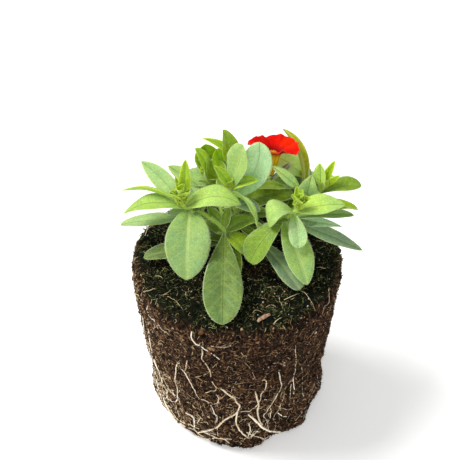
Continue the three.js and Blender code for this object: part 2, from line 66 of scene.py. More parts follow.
def cloud(points, size, seed):
    # smooth random values from -1 to 1 over blobs of this size
    place = points / size + 31.7 * seed
    cell = np.floor(place).astype(np.int64)
    share = place - cell
    share = share * share * (3 - 2 * share)
    total = 0
    for corner in range(8):
        step = np.array([corner & 1, corner >> 1 & 1, corner >> 2])
        key = ((cell + step) * np.array([73856093, 19349663, 83492791])).sum(-1) + 9176 * seed
        key = (key ^ (key >> 13)) * 1274126177 & 0xFFFFFFFF
        key = (key ^ (key >> 16)) & 0xFFFF
        weight = np.prod(np.where(step == 1, share, 1 - share), axis=-1)
        total = total + weight * (key / 32767.5 - 1)
    return total


def centripetal(points, steps):
    # a smooth curve through the points, with this many samples on each leg
    points = np.asarray(points, float)
    ends = [2 * points[0] - points[1], *points, 2 * points[-1] - points[-2]]
    samples = []
    for leg in range(len(points) - 1):
        a, b, c, d = ends[leg:leg + 4]
        before, middle, after = (max(np.linalg.norm(gap), 1e-4) ** 0.5 for gap in (b - a, c - b, d - c))
        leave = ((b - a) / before - (c - a) / (before + middle) + (c - b) / middle) * middle
        arrive = ((c - b) / middle - (d - b) / (middle + after) + (d - c) / after) * middle
        for t in np.arange(steps) / steps:
            samples.append(b + leave * t + (-3 * b + 3 * c - 2 * leave - arrive) * t ** 2
                           + (2 * b - 2 * c + leave + arrive) * t ** 3)
    return np.array([*samples, points[-1]])


def ringFaces(rings, sides):
    # four-sided faces between rings of points, each ring closed on itself
    row, column = np.meshgrid(np.arange(rings - 1), np.arange(sides), indexing="ij")
    here, there = row * sides + column, row * sides + (column + 1) % sides
    return np.stack([here, there, there + sides, here + sides], -1).reshape(-1, 4)


def fanCaps(rings, sides):
    # triangles that close the first ring and the last
    fan = np.arange(1, sides - 1)
    last = (rings - 1) * sides
    first = np.stack([0 * fan, fan + 1, fan], -1)
    return np.concatenate([first, np.stack([last + 0 * fan, last + fan, last + fan + 1], -1)])


def pointCaps(rings, sides):
    # triangles from the end rings to the two points that follow the last ring
    ring = np.arange(sides)
    after = (ring + 1) % sides
    last, end = (rings - 1) * sides, rings * sides
    first = np.stack([end + 0 * ring, after, ring], -1)
    return np.concatenate([first, np.stack([last + ring, last + after, end + 1 + 0 * ring], -1)])


class Bag:
    # gathers the points, faces and masks of one piece

    def __init__(self, *masks):
        self.points = []
        self.quads = []
        self.triangles = []
        self.masks = {name: [] for name in masks}
        self.size = 0

    def add(self, points, quads=(), triangles=(), **masks):
        # a mask is one value or one per point
        points = np.asarray(points, float).reshape(-1, 3)
        self.points.append(points)
        self.quads.append(np.asarray(quads, int).reshape(-1, 4) + self.size)
        self.triangles.append(np.asarray(triangles, int).reshape(-1, 3) + self.size)
        for name, values in self.masks.items():
            values.append(np.broadcast_to(np.ravel(masks.get(name, 0)), len(points)))
        self.size += len(points)

    def addStrands(self, paths, radii, normals, sides, **masks):
        # many tubes at once: paths is strands x rings x 3, and a mask is per strand or per ring
        strands, rings, _ = paths.shape
        along = unit(np.gradient(paths, axis=1))
        side = unit(np.cross(along, np.broadcast_to(normals, paths.shape)))
        up = np.cross(along, side)
        turn = 2 * np.pi * np.arange(sides) / sides
        radii = np.broadcast_to(radii, (strands, rings))[:, :, None, None]
        rim = np.cos(turn)[:, None] * side[:, :, None] + np.sin(turn)[:, None] * up[:, :, None]
        points = paths[:, :, None] + radii * rim
        offset = (np.arange(strands) * rings * sides)[:, None, None]
        spread = {}
        for name, value in masks.items():
            value = value[:, None] if value.ndim == 1 else value
            spread[name] = np.broadcast_to(value, (strands, rings))[:, :, None].repeat(sides, 2)
        self.add(points, ringFaces(rings, sides) + offset, fanCaps(rings, sides) + offset, **spread)

    def addStrand(self, path, radius, normal, sides, **masks):
        # one tube, where the radius and each mask are one value or one per ring
        masks = {name: np.broadcast_to(value, (1, len(path))) for name, value in masks.items()}
        self.addStrands(path[None], radius, normal, sides, **masks)


def makePiece(name, bag, material, slot, *nodes):
    points = np.concatenate(bag.points) * metre
    points[:, 2] = np.maximum(points[:, 2], 0)  # nothing reaches under the floor
    quads, triangles = np.concatenate(bag.quads), np.concatenate(bag.triangles)
    mesh = bpy.data.meshes.new(name)
    mesh.vertices.add(len(points))
    mesh.vertices.foreach_set("co", points.astype(np.float32).ravel())
    loops = np.concatenate([quads.ravel(), triangles.ravel()]).astype(np.int32)
    mesh.loops.add(len(loops))
    mesh.loops.foreach_set("vertex_index", loops)
    starts = np.concatenate([4 * np.arange(len(quads)), 4 * len(quads) + 3 * np.arange(len(triangles))])
    mesh.polygons.add(len(starts))
    mesh.polygons.foreach_set("loop_start", starts.astype(np.int32))
    mesh.polygons.foreach_set("use_smooth", np.ones(len(starts), bool))
    for label, values in bag.masks.items():
        layer = mesh.attributes.new(label, "FLOAT", "POINT")
        layer.data.foreach_set("value", np.concatenate(values).astype(np.float32))
    mesh.update(calc_edges=True)
    mesh.validate()
    mesh.materials.append(material)
    piece = bpy.data.objects.new(name, mesh)
    bpy.context.scene.collection.objects.link(piece)
    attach(piece, "root")
    if nodes:
        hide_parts(*nodes)
    print("made", name, 2 * len(quads) + len(triangles), "triangles")


# Camera, light and floor

view = dict(aim=(-3, 0, 106), distance=600, elevation=42, lens=105.3)
lamps = dict(  # place in metres, size, power, colour
    key=((-1.6, 0.3, 2.55), 1.5, 90, (1, 0.985, 0.95)),
    fill=((-0.2, -2.4, 1.7), 2.1, 26, (1, 0.99, 0.95)),
)
studio = dict(aim=(0, 0, 0.1), sky=(0.97, 0.985, 1, 1), skyLight=0.42, floorSize=8, floor=0.95, glow=0.28)


def setCamera():
    tilt = math.radians(view["elevation"])
    back = Vector((0, -math.cos(tilt), math.sin(tilt)))
    data = bpy.data.cameras.new("camera")
    data.lens = view["lens"]
    data.clip_start, data.clip_end = 0.01, 20
    camera = bpy.data.objects.new("camera", data)
    camera.location = (Vector(view["aim"]) + back * view["distance"]) * metre
    camera.rotation_euler = (-back).to_track_quat("-Z", "Y").to_euler()
    bpy.context.scene.collection.objects.link(camera)
    bpy.context.scene.camera = camera


def addLight(name, place, size, power, colour):
    data = bpy.data.lights.new(name, "AREA")
    data.shape, data.size = "DISK", size
    data.energy, data.color = power, colour
    light = bpy.data.objects.new(name, data)
    light.location = place
    light.rotation_euler = (Vector(studio["aim"]) - Vector(place)).to_track_quat("-Z", "Y").to_euler()
    bpy.context.scene.collection.objects.link(light)


def setStudio():
    world = bpy.data.worlds.new("studio")
    world.use_nodes = True
    world.node_tree.nodes["Background"].inputs["Color"].default_value = studio["sky"]
    world.node_tree.nodes["Background"].inputs["Strength"].default_value = studio["skyLight"]
    bpy.context.scene.world = world
    for name, lamp in lamps.items():
        addLight(name, *lamp)
    paper, _, shader = newMaterial("floorPaper", 0.9)
    shader.inputs["Base Color"].default_value = (studio["floor"],) * 3 + (1,)
    shader.inputs["Emission Color"].default_value = (1, 1, 1, 1)
    shader.inputs["Emission Strength"].default_value = studio["glow"]  # keeps the shadow pale
    bpy.ops.mesh.primitive_plane_add(size=studio["floorSize"], location=(0, 0, 0))
    floor = bpy.context.object
    floor.name = "floor"
    floor.data.materials.append(paper)
    bpy.context.scene.view_settings.view_transform = "Standard"


# Shader tools


def tint(code):
    # a web colour as Blender's linear colour
    parts = [int(code[at:at + 2], 16) / 255 for at in (1, 3, 5)]
    return tuple(c / 12.92 if c <= 0.04045 else ((c + 0.055) / 1.055) ** 2.4 for c in parts) + (1,)


def addNode(tree, kind, inputs=None, **settings):
    made = tree.nodes.new(kind)
    for key, value in settings.items():
        setattr(made, key, value)
    for key, value in (inputs or {}).items():
        if isinstance(value, bpy.types.NodeSocket):
            tree.links.new(value, made.inputs[key])
        else:
            made.inputs[key].default_value = value
    return made


def mask(tree, name):
    return addNode(tree, "ShaderNodeAttribute", attribute_name=name).outputs["Fac"]


def sums(tree, operation, a, b=0.0):
    return addNode(tree, "ShaderNodeMath", {0: a, 1: b}, operation=operation).outputs[0]


def times(tree, a, b):
    return sums(tree, "MULTIPLY", a, b)


def ranged(tree, value, low, high, toLow=0.0, toHigh=1.0):
    inputs = {"Value": value, "From Min": low, "From Max": high, "To Min": toLow, "To Max": toHigh}
    return addNode(tree, "ShaderNodeMapRange", inputs, interpolation_type="SMOOTHSTEP").outputs["Result"]


def blended(tree, factor, a, b, kind="MIX"):
    made = addNode(tree, "ShaderNodeMix", {0: factor, 6: a, 7: b}, data_type="RGBA", blend_type=kind)
    return made.outputs[2]


def tinted(tree, factor, colour, code):
    return blended(tree, factor, colour, tint(code))


def brightened(tree, colour, factor):
    grey = addNode(tree, "ShaderNodeCombineColor", {"Red": factor, "Green": factor, "Blue": factor})
    return blended(tree, 1.0, colour, grey.outputs[0], "MULTIPLY")


def ramp(tree, factor, stops):
    made = addNode(tree, "ShaderNodeValToRGB", {"Fac": factor})
    elements = made.color_ramp.elements
    while len(elements) < len(stops):
        elements.new(0.5)
    for element, (place, code) in zip(elements, stops):
        element.position = place
        element.color = tint(code)
    return made.outputs["Color"]


def noise(tree, scale, detail, roughness=0.5):
    place = addNode(tree, "ShaderNodeTexCoord").outputs["Object"]
    inputs = {"Vector": place, "Scale": scale, "Detail": detail, "Roughness": roughness}
    return addNode(tree, "ShaderNodeTexNoise", inputs).outputs["Fac"]


def newGroup(name, inputs, output, kind):
    group = bpy.data.node_groups.new(name, "ShaderNodeTree")
    for label, value in inputs.items():
        socket = group.interface.new_socket(name=label, in_out="INPUT", socket_type="NodeSocketFloat")
        socket.default_value = value
    group.interface.new_socket(name=output, in_out="OUTPUT", socket_type=kind)
    return group, addNode(group, "NodeGroupInput").outputs, addNode(group, "NodeGroupOutput").inputs


def makeMottle():
    # blotches of a given size in millimetres, as a factor round 1
    group, given, out = newGroup("mottle", dict(Size=2, Detail=2, Strength=0.1), "Factor", "NodeSocketFloat")
    grain = noise(group, sums(group, "DIVIDE", 1000.0, given["Size"]), given["Detail"])
    swing = times(group, sums(group, "SUBTRACT", grain, 0.5), given["Strength"])
    group.links.new(sums(group, "ADD", times(group, swing, 4.0), 1.0), out["Factor"])
    return group


def makeDown():
    # the normal of a finely pimpled or hairy skin
    inputs = dict(Size=0.4, Strength=0.3, Height=0.1)
    group, given, out = newGroup("down", inputs, "Normal", "NodeSocketVector")
    grain = noise(group, sums(group, "DIVIDE", 1000.0, given["Size"]), 3.0)
    depth = times(group, given["Height"], 0.001)
    inputs = {"Strength": given["Strength"], "Distance": depth, "Height": grain}
    group.links.new(addNode(group, "ShaderNodeBump", inputs).outputs["Normal"], out["Normal"])
    return group


mottleGroup = makeMottle()
downGroup = makeDown()


def mottled(tree, size, strength, detail=2.0):
    inputs = {"Size": size, "Strength": strength, "Detail": detail}
    return addNode(tree, "ShaderNodeGroup", inputs, node_tree=mottleGroup).outputs["Factor"]


def newMaterial(name, roughness, specular=0.5):
    material = bpy.data.materials.new(name)
    material.use_nodes = True
    shader = material.node_tree.nodes["Principled BSDF"]
    shader.inputs["Roughness"].default_value = roughness
    shader.inputs["Specular IOR Level"].default_value = specular
    return material, material.node_tree, shader


def finishSkin(tree, shader, colour, size, strength, height):
    # the last values are of the down on the skin
    inputs = {"Size": size, "Strength": strength, "Height": height}
    down = addNode(tree, "ShaderNodeGroup", inputs, node_tree=downGroup)
    tree.links.new(colour, shader.inputs["Base Color"])
    tree.links.new(down.outputs["Normal"], shader.inputs["Normal"])


setCamera()
setStudio()
print("camera and studio set")

# The peat block

meanRadius = 43  # of the wall, where angles are turned into lengths
peat = dict(
    height=90, rimRadius=48.5, footRadius=38.5, footRound=5, rimRound=8, hollow=1.6, hollowRadius=34,
    columns=380, crumb=0.8, grit=0.5, pit=1.6,
    dents=[  # angle, height, size, depth
        (-38, 26, 13, 2.0), (-24, 50, 11, -1.4), (-4, 28, 9, -3.9), (-4, 9, 8, 2.2), (-58, 1, 9, -2),
        (-80, 3, 10, 1.4), (-40, 3, 9, 2.4), (-128, 4, 14, -1.8), (60, 30, 14, -1.4), (130, 58, 15, 1.2),
        (175, 28, 14, -0.4), (-174, 9, 10, 1.8),
    ],
)


def wallRadius(angle, level):
    swell = 0.5 * np.sin(3 * angle + 0.6) + 0.4 * np.sin(5 * angle + level / 14)
    for dentAngle, dentLevel, size, out in peat["dents"]:
        across = angle - math.radians(dentAngle)
        turn = np.arctan2(np.sin(across), np.cos(across))
        away = np.hypot(turn * peat["footRadius"], level - dentLevel) / size
        swell = swell + out * np.exp(-away * away)
    taper = peat["footRadius"] + (peat["rimRadius"] - peat["footRadius"]) * level / peat["height"]
    low = np.maximum(0, peat["footRound"] - level)
    high = np.clip(level - (peat["height"] - peat["rimRound"]), 0, peat["rimRound"])
    footIn = peat["footRound"] - np.sqrt(peat["footRound"] ** 2 - low ** 2)
    rimIn = peat["rimRound"] - np.sqrt(peat["rimRound"] ** 2 - high ** 2)
    return taper + swell - footIn - rimIn


def topLevel(angle, radius):
    x, y = radius * np.cos(angle), radius * np.sin(angle)
    bumps = 0.7 * np.sin(x / 4.1 + 1) * np.cos(y / 4.7) + 0.5 * np.sin((x + 2 * y) / 6.3)
    dip = peat["hollow"] * np.cos(np.pi / 2 * np.minimum(1, radius / peat["hollowRadius"])) ** 2
    edge = np.clip((peat["rimRadius"] - peat["rimRound"] - radius) / 6, 0, 1)
    return peat["height"] - 0.4 - dip + bumps * edge


def mossShare(points):
    # how mossy the block is: the top, in patches, fading over the rim
    radius = np.hypot(points[..., 0], points[..., 1])
    patches = 0.55 * cloud(points, 9, 3) + 0.35 * cloud(points, 3.5, 4)
    onTop = smoothStep(84.5, 89.5, points[..., 2] + 3.2 * patches)
    inside = 1 - smoothStep(43, 49, radius + 4 * patches)
    return onTop * np.clip(0.35 + inside + 0.5 * patches, 0, 1)


def sandShare(points):
    # painted light: the left side is painted paler, as where more light falls, and patches low on the front
    # are paler too
    left = smoothStep(0.15, 0.95, -points[..., 0] / 45)
    low = smoothStep(45, 8, points[..., 2]) * smoothStep(0.35, -0.2, points[..., 0] / 45)
    return np.clip(0.75 * left + 0.45 * low + 0.3 * cloud(points, 11, 14), 0, 1)


def peatSurface():
    # rings of points across the foot, up the wall and in over the top
    angle = 2 * np.pi * np.arange(peat["columns"]) / peat["columns"]
    foot = wallRadius(angle, np.zeros_like(angle))
    rows = [polar(foot * share, angle, 0) for share in (0.3, 0.6, 0.85)]
    for level in [*np.arange(0, 6, 0.6), *np.arange(6, 82, 0.82), *np.arange(82, 89.9, 0.5)]:
        rows.append(polar(wallRadius(angle, np.full_like(angle, level)), angle, level))
    for radius in np.arange(40, 1, -1.0):
        rows.append(polar(radius, angle, topLevel(angle, radius)))
    return np.array(rows)


def peatBag():
    grid = peatSurface()
    rows, columns, _ = grid.shape
    normal = unit(np.cross(np.roll(grid, -1, 1) - np.roll(grid, 1, 1), np.gradient(grid, axis=0)))
    crumbs = 0.6 * cloud(grid, 4.2, 1) + 0.55 * cloud(grid, 2.3, 2)
    lift = peat["crumb"] * crumbs + peat["grit"] * cloud(grid, 1.25, 5)
    lift -= peat["pit"] * np.maximum(0, cloud(grid, 3.1, 6) - 0.35)
    lift *= smoothStep(0.0, 1.6, grid[..., 2])  # the foot stays flat
    moved = grid + normal * lift[..., None]
    points = np.concatenate([moved.reshape(-1, 3), [[0, 0, 0]], [[0, 0, moved[-1, :, 2].mean()]]])
    bag = Bag("pit", "moss", "sand")
    # painted shade: how dark to paint the pits in the crust
    pit = np.append(smoothStep(0.1, -1.1, lift).ravel(), [0, 0.5])
    bag.add(points, ringFaces(rows, columns), pointCaps(rows, columns),
            pit=pit, moss=mossShare(points), sand=sandShare(points))
    return bag


peatMesh = peatBag()
blockTree = BVHTree.FromPolygons(
    peatMesh.points[0].tolist(), [*peatMesh.quads[0].tolist(), *peatMesh.triangles[0].tolist()])
rayStart = dict(beside=75, above=130)  # how far out and how high rays towards the block set out


def castTo(origins, directions):
    # where rays meet the block, with the way out of it there
    places, ways = np.empty_like(origins), np.empty_like(origins)
    for index, (origin, direction) in enumerate(zip(origins, directions)):
        place, way, _, _ = blockTree.ray_cast(Vector(origin), Vector(direction))
        if place is None:
            place, way, _, _ = blockTree.find_nearest(Vector((origin[0], origin[1], peat["height"] - 4)))
        places[index], ways[index] = place, way
    return places, ways


def onWall(angle, level):
    out = polar(1, angle, 0)
    origins = polar(rayStart["beside"], angle, np.clip(level, 0.5, peat["height"] - 1))
    return castTo(origins.reshape(-1, 3), -out.reshape(-1, 3))


def onTop(x, y):
    origins = np.stack([x, y, np.full_like(x, rayStart["above"])], -1).reshape(-1, 3)
    return castTo(origins, np.broadcast_to([0.0, 0.0, -1.0], origins.shape))


def peatMaterial():
    material, tree, shader = newMaterial("peatSoil", 0.92, 0.1)
    flecks = noise(tree, 900.0, 5.0, 0.75)
    soil = ramp(tree, flecks, [
        (0.38, "#060403"), (0.47, "#18100a"), (0.54, "#442e1e"), (0.61, "#7a573b"), (0.7, "#b18d63")])
    soil = brightened(tree, soil, mottled(tree, 9, 0.3))
    # painted light: brighter on the left, darker to the right, and paler in the low patches
    soil = brightened(tree, soil, ranged(tree, mask(tree, "sand"), 0.0, 1.0, 0.82, 1.5))
    # painted shade: the pits are painted nearly black
    soil = tinted(tree, times(tree, mask(tree, "pit"), 0.88), soil, "#090504")
    green = ramp(tree, flecks, [
        (0.3, "#030403"), (0.48, "#090e06"), (0.6, "#161d0c"), (0.72, "#303a18"), (0.8, "#666c38")])
    finishSkin(tree, shader, blended(tree, mask(tree, "moss"), soil, green), 0.7, 0.8, 0.5)
    return material


makePiece("peat_soil", peatMesh, peatMaterial(), "peat", "peat_block")

# Fibres, straws and crumbs on the block

litter = dict(
    wallFibres=9000, topFibres=850, straws=60, topCrumbs=620, wallCrumbs=4600, chips=190, perlite=16,
    barkChip=[(8.8, -42.0), (11.4, -39.5), (14.2, -37.1)],
    placedStraws=[  # points on the top
        [(15.8, -42.0), (17.2, -40.4), (19.4, -38.7)], [(27.8, -21.5), (30.5, -25.9), (34.2, -30.8)],
        [(20.7, -28.3), (24.3, -27.1), (27.7, -24.3)], [(18.6, -25.9), (18.9, -29.0), (20.1, -33.3)],
        [(40.7, -19.8), (41.0, -23.3), (38.0, -27.8)], [(-36.6, -12.6), (-34.3, -14.5), (-31.9, -17.0)],
        [(-30.7, -26.5), (-27.6, -28.2), (-23.6, -33.6)], [(-41.7, -18.9), (-38.7, -21.9), (-35.3, -21.2)],
        [(-42.3, 14.7), (-41.0, 17.7), (-38.5, 20.0)], [(35.8, -6.7), (38.8, -9.3), (42.1, -6.7)],
        [(12.5, -31.0), (15.0, -30.4), (17.2, -31.6)], [(6.5, -36.5), (8.6, -35.2), (10.9, -35.8)],
    ],
)


def strandMaterial(name, stops, roughness=0.85):
    material, tree, shader = newMaterial(name, roughness, 0.14)
    colour = ramp(tree, mask(tree, "shade"), stops)
    finishSkin(tree, shader, brightened(tree, colour, mottled(tree, 1.1, 0.22)), 0.25, 0.5, 0.15)
    return material


coir = strandMaterial("coirFibre", [
    (0.0, "#0b0704"), (0.22, "#2b1c12"), (0.42, "#5f422b"), (0.6, "#946f4f"),
    (0.76, "#ae8e68"), (0.9, "#cdb084"), (1.0, "#e8d7aa")])


def layFibres(bag, random, start, wall, length, thick, shade, lift):
    # short bent fibres that lie on the wall or on the top
    cast, squeeze = (onWall, [1 / meanRadius, 1]) if wall else (onTop, [1, 1])
    count = len(start)
    heading = random.uniform(0, 2 * np.pi, count)
    size = length(count)
    bend = random.normal(0, 1.0, count)
    turn = heading[:, None] + bend[:, None] * np.array([-0.5, -0.17, 0.17, 0.5])
    along = np.cumsum(np.stack([np.cos(turn), np.sin(turn)], -1) * (size / 3)[:, None, None], axis=1)
    flat = start[:, None] + (along - along.mean(1, keepdims=True)) * squeeze
    surface, way = (found.reshape(count, 4, 3) for found in cast(flat[..., 0].ravel(), flat[..., 1].ravel()))
    radius = thick(count)[:, None]
    rise = np.abs(random.normal(0, lift, (count, 4))) * [1.5, 0.5, 0.5, 1.5]
    path = surface + way * (radius * 0.4 + rise)[..., None]
    upright = way.mean(1, keepdims=True) + 1e-3
    bag.addStrands(path, radius * [0.45, 1, 0.95, 0.35], upright, 3, shade=shade(count, start))


def wallPlaces(random, count):
    level = (peat["height"] - 1) * random.uniform(0, 1, count) ** 0.95
    angle = random.uniform(-np.pi, np.pi, count)
    return np.stack([angle, level], -1)


def topPlaces(random, count, reach=46):
    radius = reach * np.sqrt(random.uniform(0, 1, count))
    angle = random.uniform(-np.pi, np.pi, count)
    return polar(radius, angle, 0)[:, :2]


def makeFibres():
    random = np.random.default_rng(21)
    bag = Bag("shade")

    def wallShade(count, start):
        # painted light makes them paler on the left side and painted shade darker to the right; they are
        # paler low down too
        left = 0.5 - 0.5 * np.cos(start[:, 0] + 0.15)
        kind = random.choice([0.02, 0.25, 0.5, 0.74, 0.98], count, p=[0.34, 0.18, 0.15, 0.19, 0.14])
        low = 0.14 * (start[:, 1] < 38)
        return np.clip(kind * (0.7 + 0.4 * left + low) + random.normal(0, 0.07, count), 0, 1)

    layFibres(bag, random, wallPlaces(random, litter["wallFibres"]), True,
              lambda n: random.gamma(2.2, 0.62, n) + 0.6,
              lambda n: random.uniform(0.08, 0.17, n) * random.choice([0.7, 1, 1.5], n, p=[0.4, 0.4, 0.2]),
              wallShade, 0.36)
    makePiece("wall_fibres", bag, coir, "peat")
    bag = Bag("shade")
    layFibres(bag, random, topPlaces(random, litter["topFibres"]), False,
              lambda n: random.gamma(2.6, 0.7, n) + 0.8,
              lambda n: random.uniform(0.07, 0.15, n),
              lambda n, start: np.where(random.uniform(0, 1, n) < 0.1, 0.95, random.beta(1.3, 3.8, n)), 0.35)
    layFibres(bag, random, topPlaces(random, litter["straws"]), False,
              lambda n: random.gamma(3.0, 0.7, n) + 0.9,
              lambda n: random.uniform(0.09, 0.18, n),
              lambda n, start: random.uniform(0.7, 1, n), 0.6)
    for knots in litter["placedStraws"]:
        places, ways = onTop(*centripetal(knots, 5).T)
        arc = np.sin(np.linspace(0, np.pi, len(places)))
        path = places + np.array([0, 0, 1.0]) * (0.25 + 0.9 * arc)[:, None]
        taper = np.linspace(1, 0.6, len(places)) * random.uniform(0.11, 0.17)
        bag.addStrand(path, taper, ways, 5, shade=random.uniform(0.96, 1))
    makePiece("top_litter", bag, coir, "peat")


def blobs(bag, random, places, ways, sizes, flatness, shade):
    # small angular lumps: jittered eight-sided stones
    corners = np.array([[1, 0, 0], [0, 1, 0], [-1, 0, 0], [0, -1, 0], [0, 0, 1], [0, 0, -1]], float)
    faces = np.array([
        [0, 1, 4], [1, 2, 4], [2, 3, 4], [3, 0, 4], [1, 0, 5], [2, 1, 5], [3, 2, 5], [0, 3, 5]])
    count = len(places)
    side = unit(np.cross(ways, random.normal(0, 1, (count, 3))))
    lump = corners[None] * random.uniform(0.6, 1.35, (count, 6, 1)) + random.normal(0, 0.18, (count, 6, 3))
    lump *= np.stack([np.ones(count), random.uniform(0.5, 1, count), flatness], -1)[:, None]
    axes = np.stack([side, np.cross(ways, side), ways], 1)
    points = places[:, None] + np.einsum("nvk,nkj->nvj", lump * sizes[:, None, None], axes)
    bag.add(points, (), faces[None] + 6 * np.arange(count)[:, None, None], shade=np.repeat(shade, 6))


def layCrumbs(bag, random, wall, count, grain, least, flat, shade):
    spots = wallPlaces(random, count) if wall else topPlaces(random, count, 45)
    places, ways = (onWall if wall else onTop)(*spots.T)
    sizes = random.gamma(3, grain, count) + least
    blobs(bag, random, places, ways, sizes, random.uniform(*flat, count), shade(count))


def layBarkChip(bag):
    # a split stick that lies level on the moss
    flat = centripetal(litter["barkChip"], 7)
    places, ways = onTop(*flat.T)
    level = np.linspace(places[0, 2], places[-1, 2], len(flat)) + 1.0
    for shift, thick, first, last in ((0.0, 0.62, 0, 15), (0.45, 0.36, 2, 12), (-0.4, 0.3, 5, 15)):
        path = np.stack([flat[:, 0] - shift, flat[:, 1] + shift, level + 0.3 * shift], -1)[first:last]
        step = np.arange(len(path))
        girth = thick * (1 + 0.16 * np.sin(1.9 * step))
        girth[[0, -1]] *= 0.5
        bag.addStrand(path, girth, ways[first:last], 5, shade=0.24 + 0.16 * np.sin(1.3 * step))


def makeCrumbs():
    random = np.random.default_rng(5)

    def wallShade(count):
        kind = random.choice([0.02, 0.22, 0.4, 0.6], count, p=[0.42, 0.3, 0.2, 0.08])
        return kind + random.uniform(0, 0.08, count)

    bag = Bag("shade")
    layCrumbs(bag, random, False, litter["topCrumbs"], 0.12, 0.15, (0.5, 0.9),
              lambda n: random.beta(1.3, 3.5, n))
    layCrumbs(bag, random, True, litter["wallCrumbs"], 0.15, 0.2, (0.5, 0.9), wallShade)
    makePiece("peat_crumbs", bag, coir, "peat")
    bag = Bag("shade")
    count = litter["chips"]
    layCrumbs(bag, random, False, count, 0.09, 0.14, (0.25, 0.6), lambda n: random.uniform(0.5, 1, n))
    layCrumbs(bag, random, True, 3 * count, 0.09, 0.13, (0.2, 0.5), lambda n: random.uniform(0, 0.9, n))
    layBarkChip(bag)
    count = litter["perlite"]
    places, ways = onWall(np.radians(random.normal(-65, 3.2, count)), random.normal(62, 0.9, count))
    sizes = random.uniform(0.4, 0.8, count)
    blobs(bag, random, places, ways, sizes, np.full(count, 0.2), random.uniform(0.3, 0.7, count))
    chips = strandMaterial("barkAndPerlite", [
        (0.0, "#8a6a58"), (0.4, "#c09a84"), (0.7, "#cfc4b8"), (1.0, "#f2efe8")])
    makePiece("bark_chips", bag, chips, "peat")


makeFibres()
makeCrumbs()

# Moss on the top

moss = dict(tufts=1950, blades=6, reach=47.5)


def makeMoss():
    random = np.random.default_rng(8)
    places, ways = onTop(*topPlaces(random, round(1.9 * moss["tufts"]), moss["reach"]).T)
    keep = mossShare(places) > random.uniform(0.1, 0.7, len(places))
    places, ways = places[keep][:moss["tufts"]], ways[keep][:moss["tufts"]]
    blades = moss["blades"]
    count = len(places) * blades
    root = np.repeat(places, blades, 0) + random.normal(0, 0.65, (count, 3)) * [1, 1, 0.15]
    lean = unit(random.normal(0, 0.95, (count, 3)) + 0.8 * np.repeat(ways, blades, 0))
    length = random.gamma(4, 0.4, count) + 0.4
    steps = np.array([0, 0.5, 1])
    droop = random.normal(0, 0.8, (count, 3)) * [1, 1, 0.5] - [0, 0, 0.35]
    path = root[:, None] + lean[:, None] * (length[:, None] * steps)[..., None]
    path = path + droop[:, None] * (steps ** 2)[:, None]
    girth = random.uniform(0.07, 0.15, count)[:, None] * [1, 0.85, 0.2]
    shade = np.repeat(random.beta(1.4, 2.8, len(places)), blades) + random.normal(0, 0.2, count)
    shade = np.clip(np.clip(shade, 0, 1)[:, None] * [0.15, 0.85, 1.7], 0, 1)
    bag = Bag("shade")
    bag.addStrands(path, girth, random.normal(0, 1, (count, 1, 3)), 3, shade=shade)
    green = strandMaterial("mossBlade", [
        (0.0, "#030502"), (0.25, "#11190b"), (0.5, "#384722"), (0.75, "#808c50"), (1.0, "#d3d394")], 0.7)
    makePiece("moss", bag, green, "leaf")


makeMoss()

# Roots

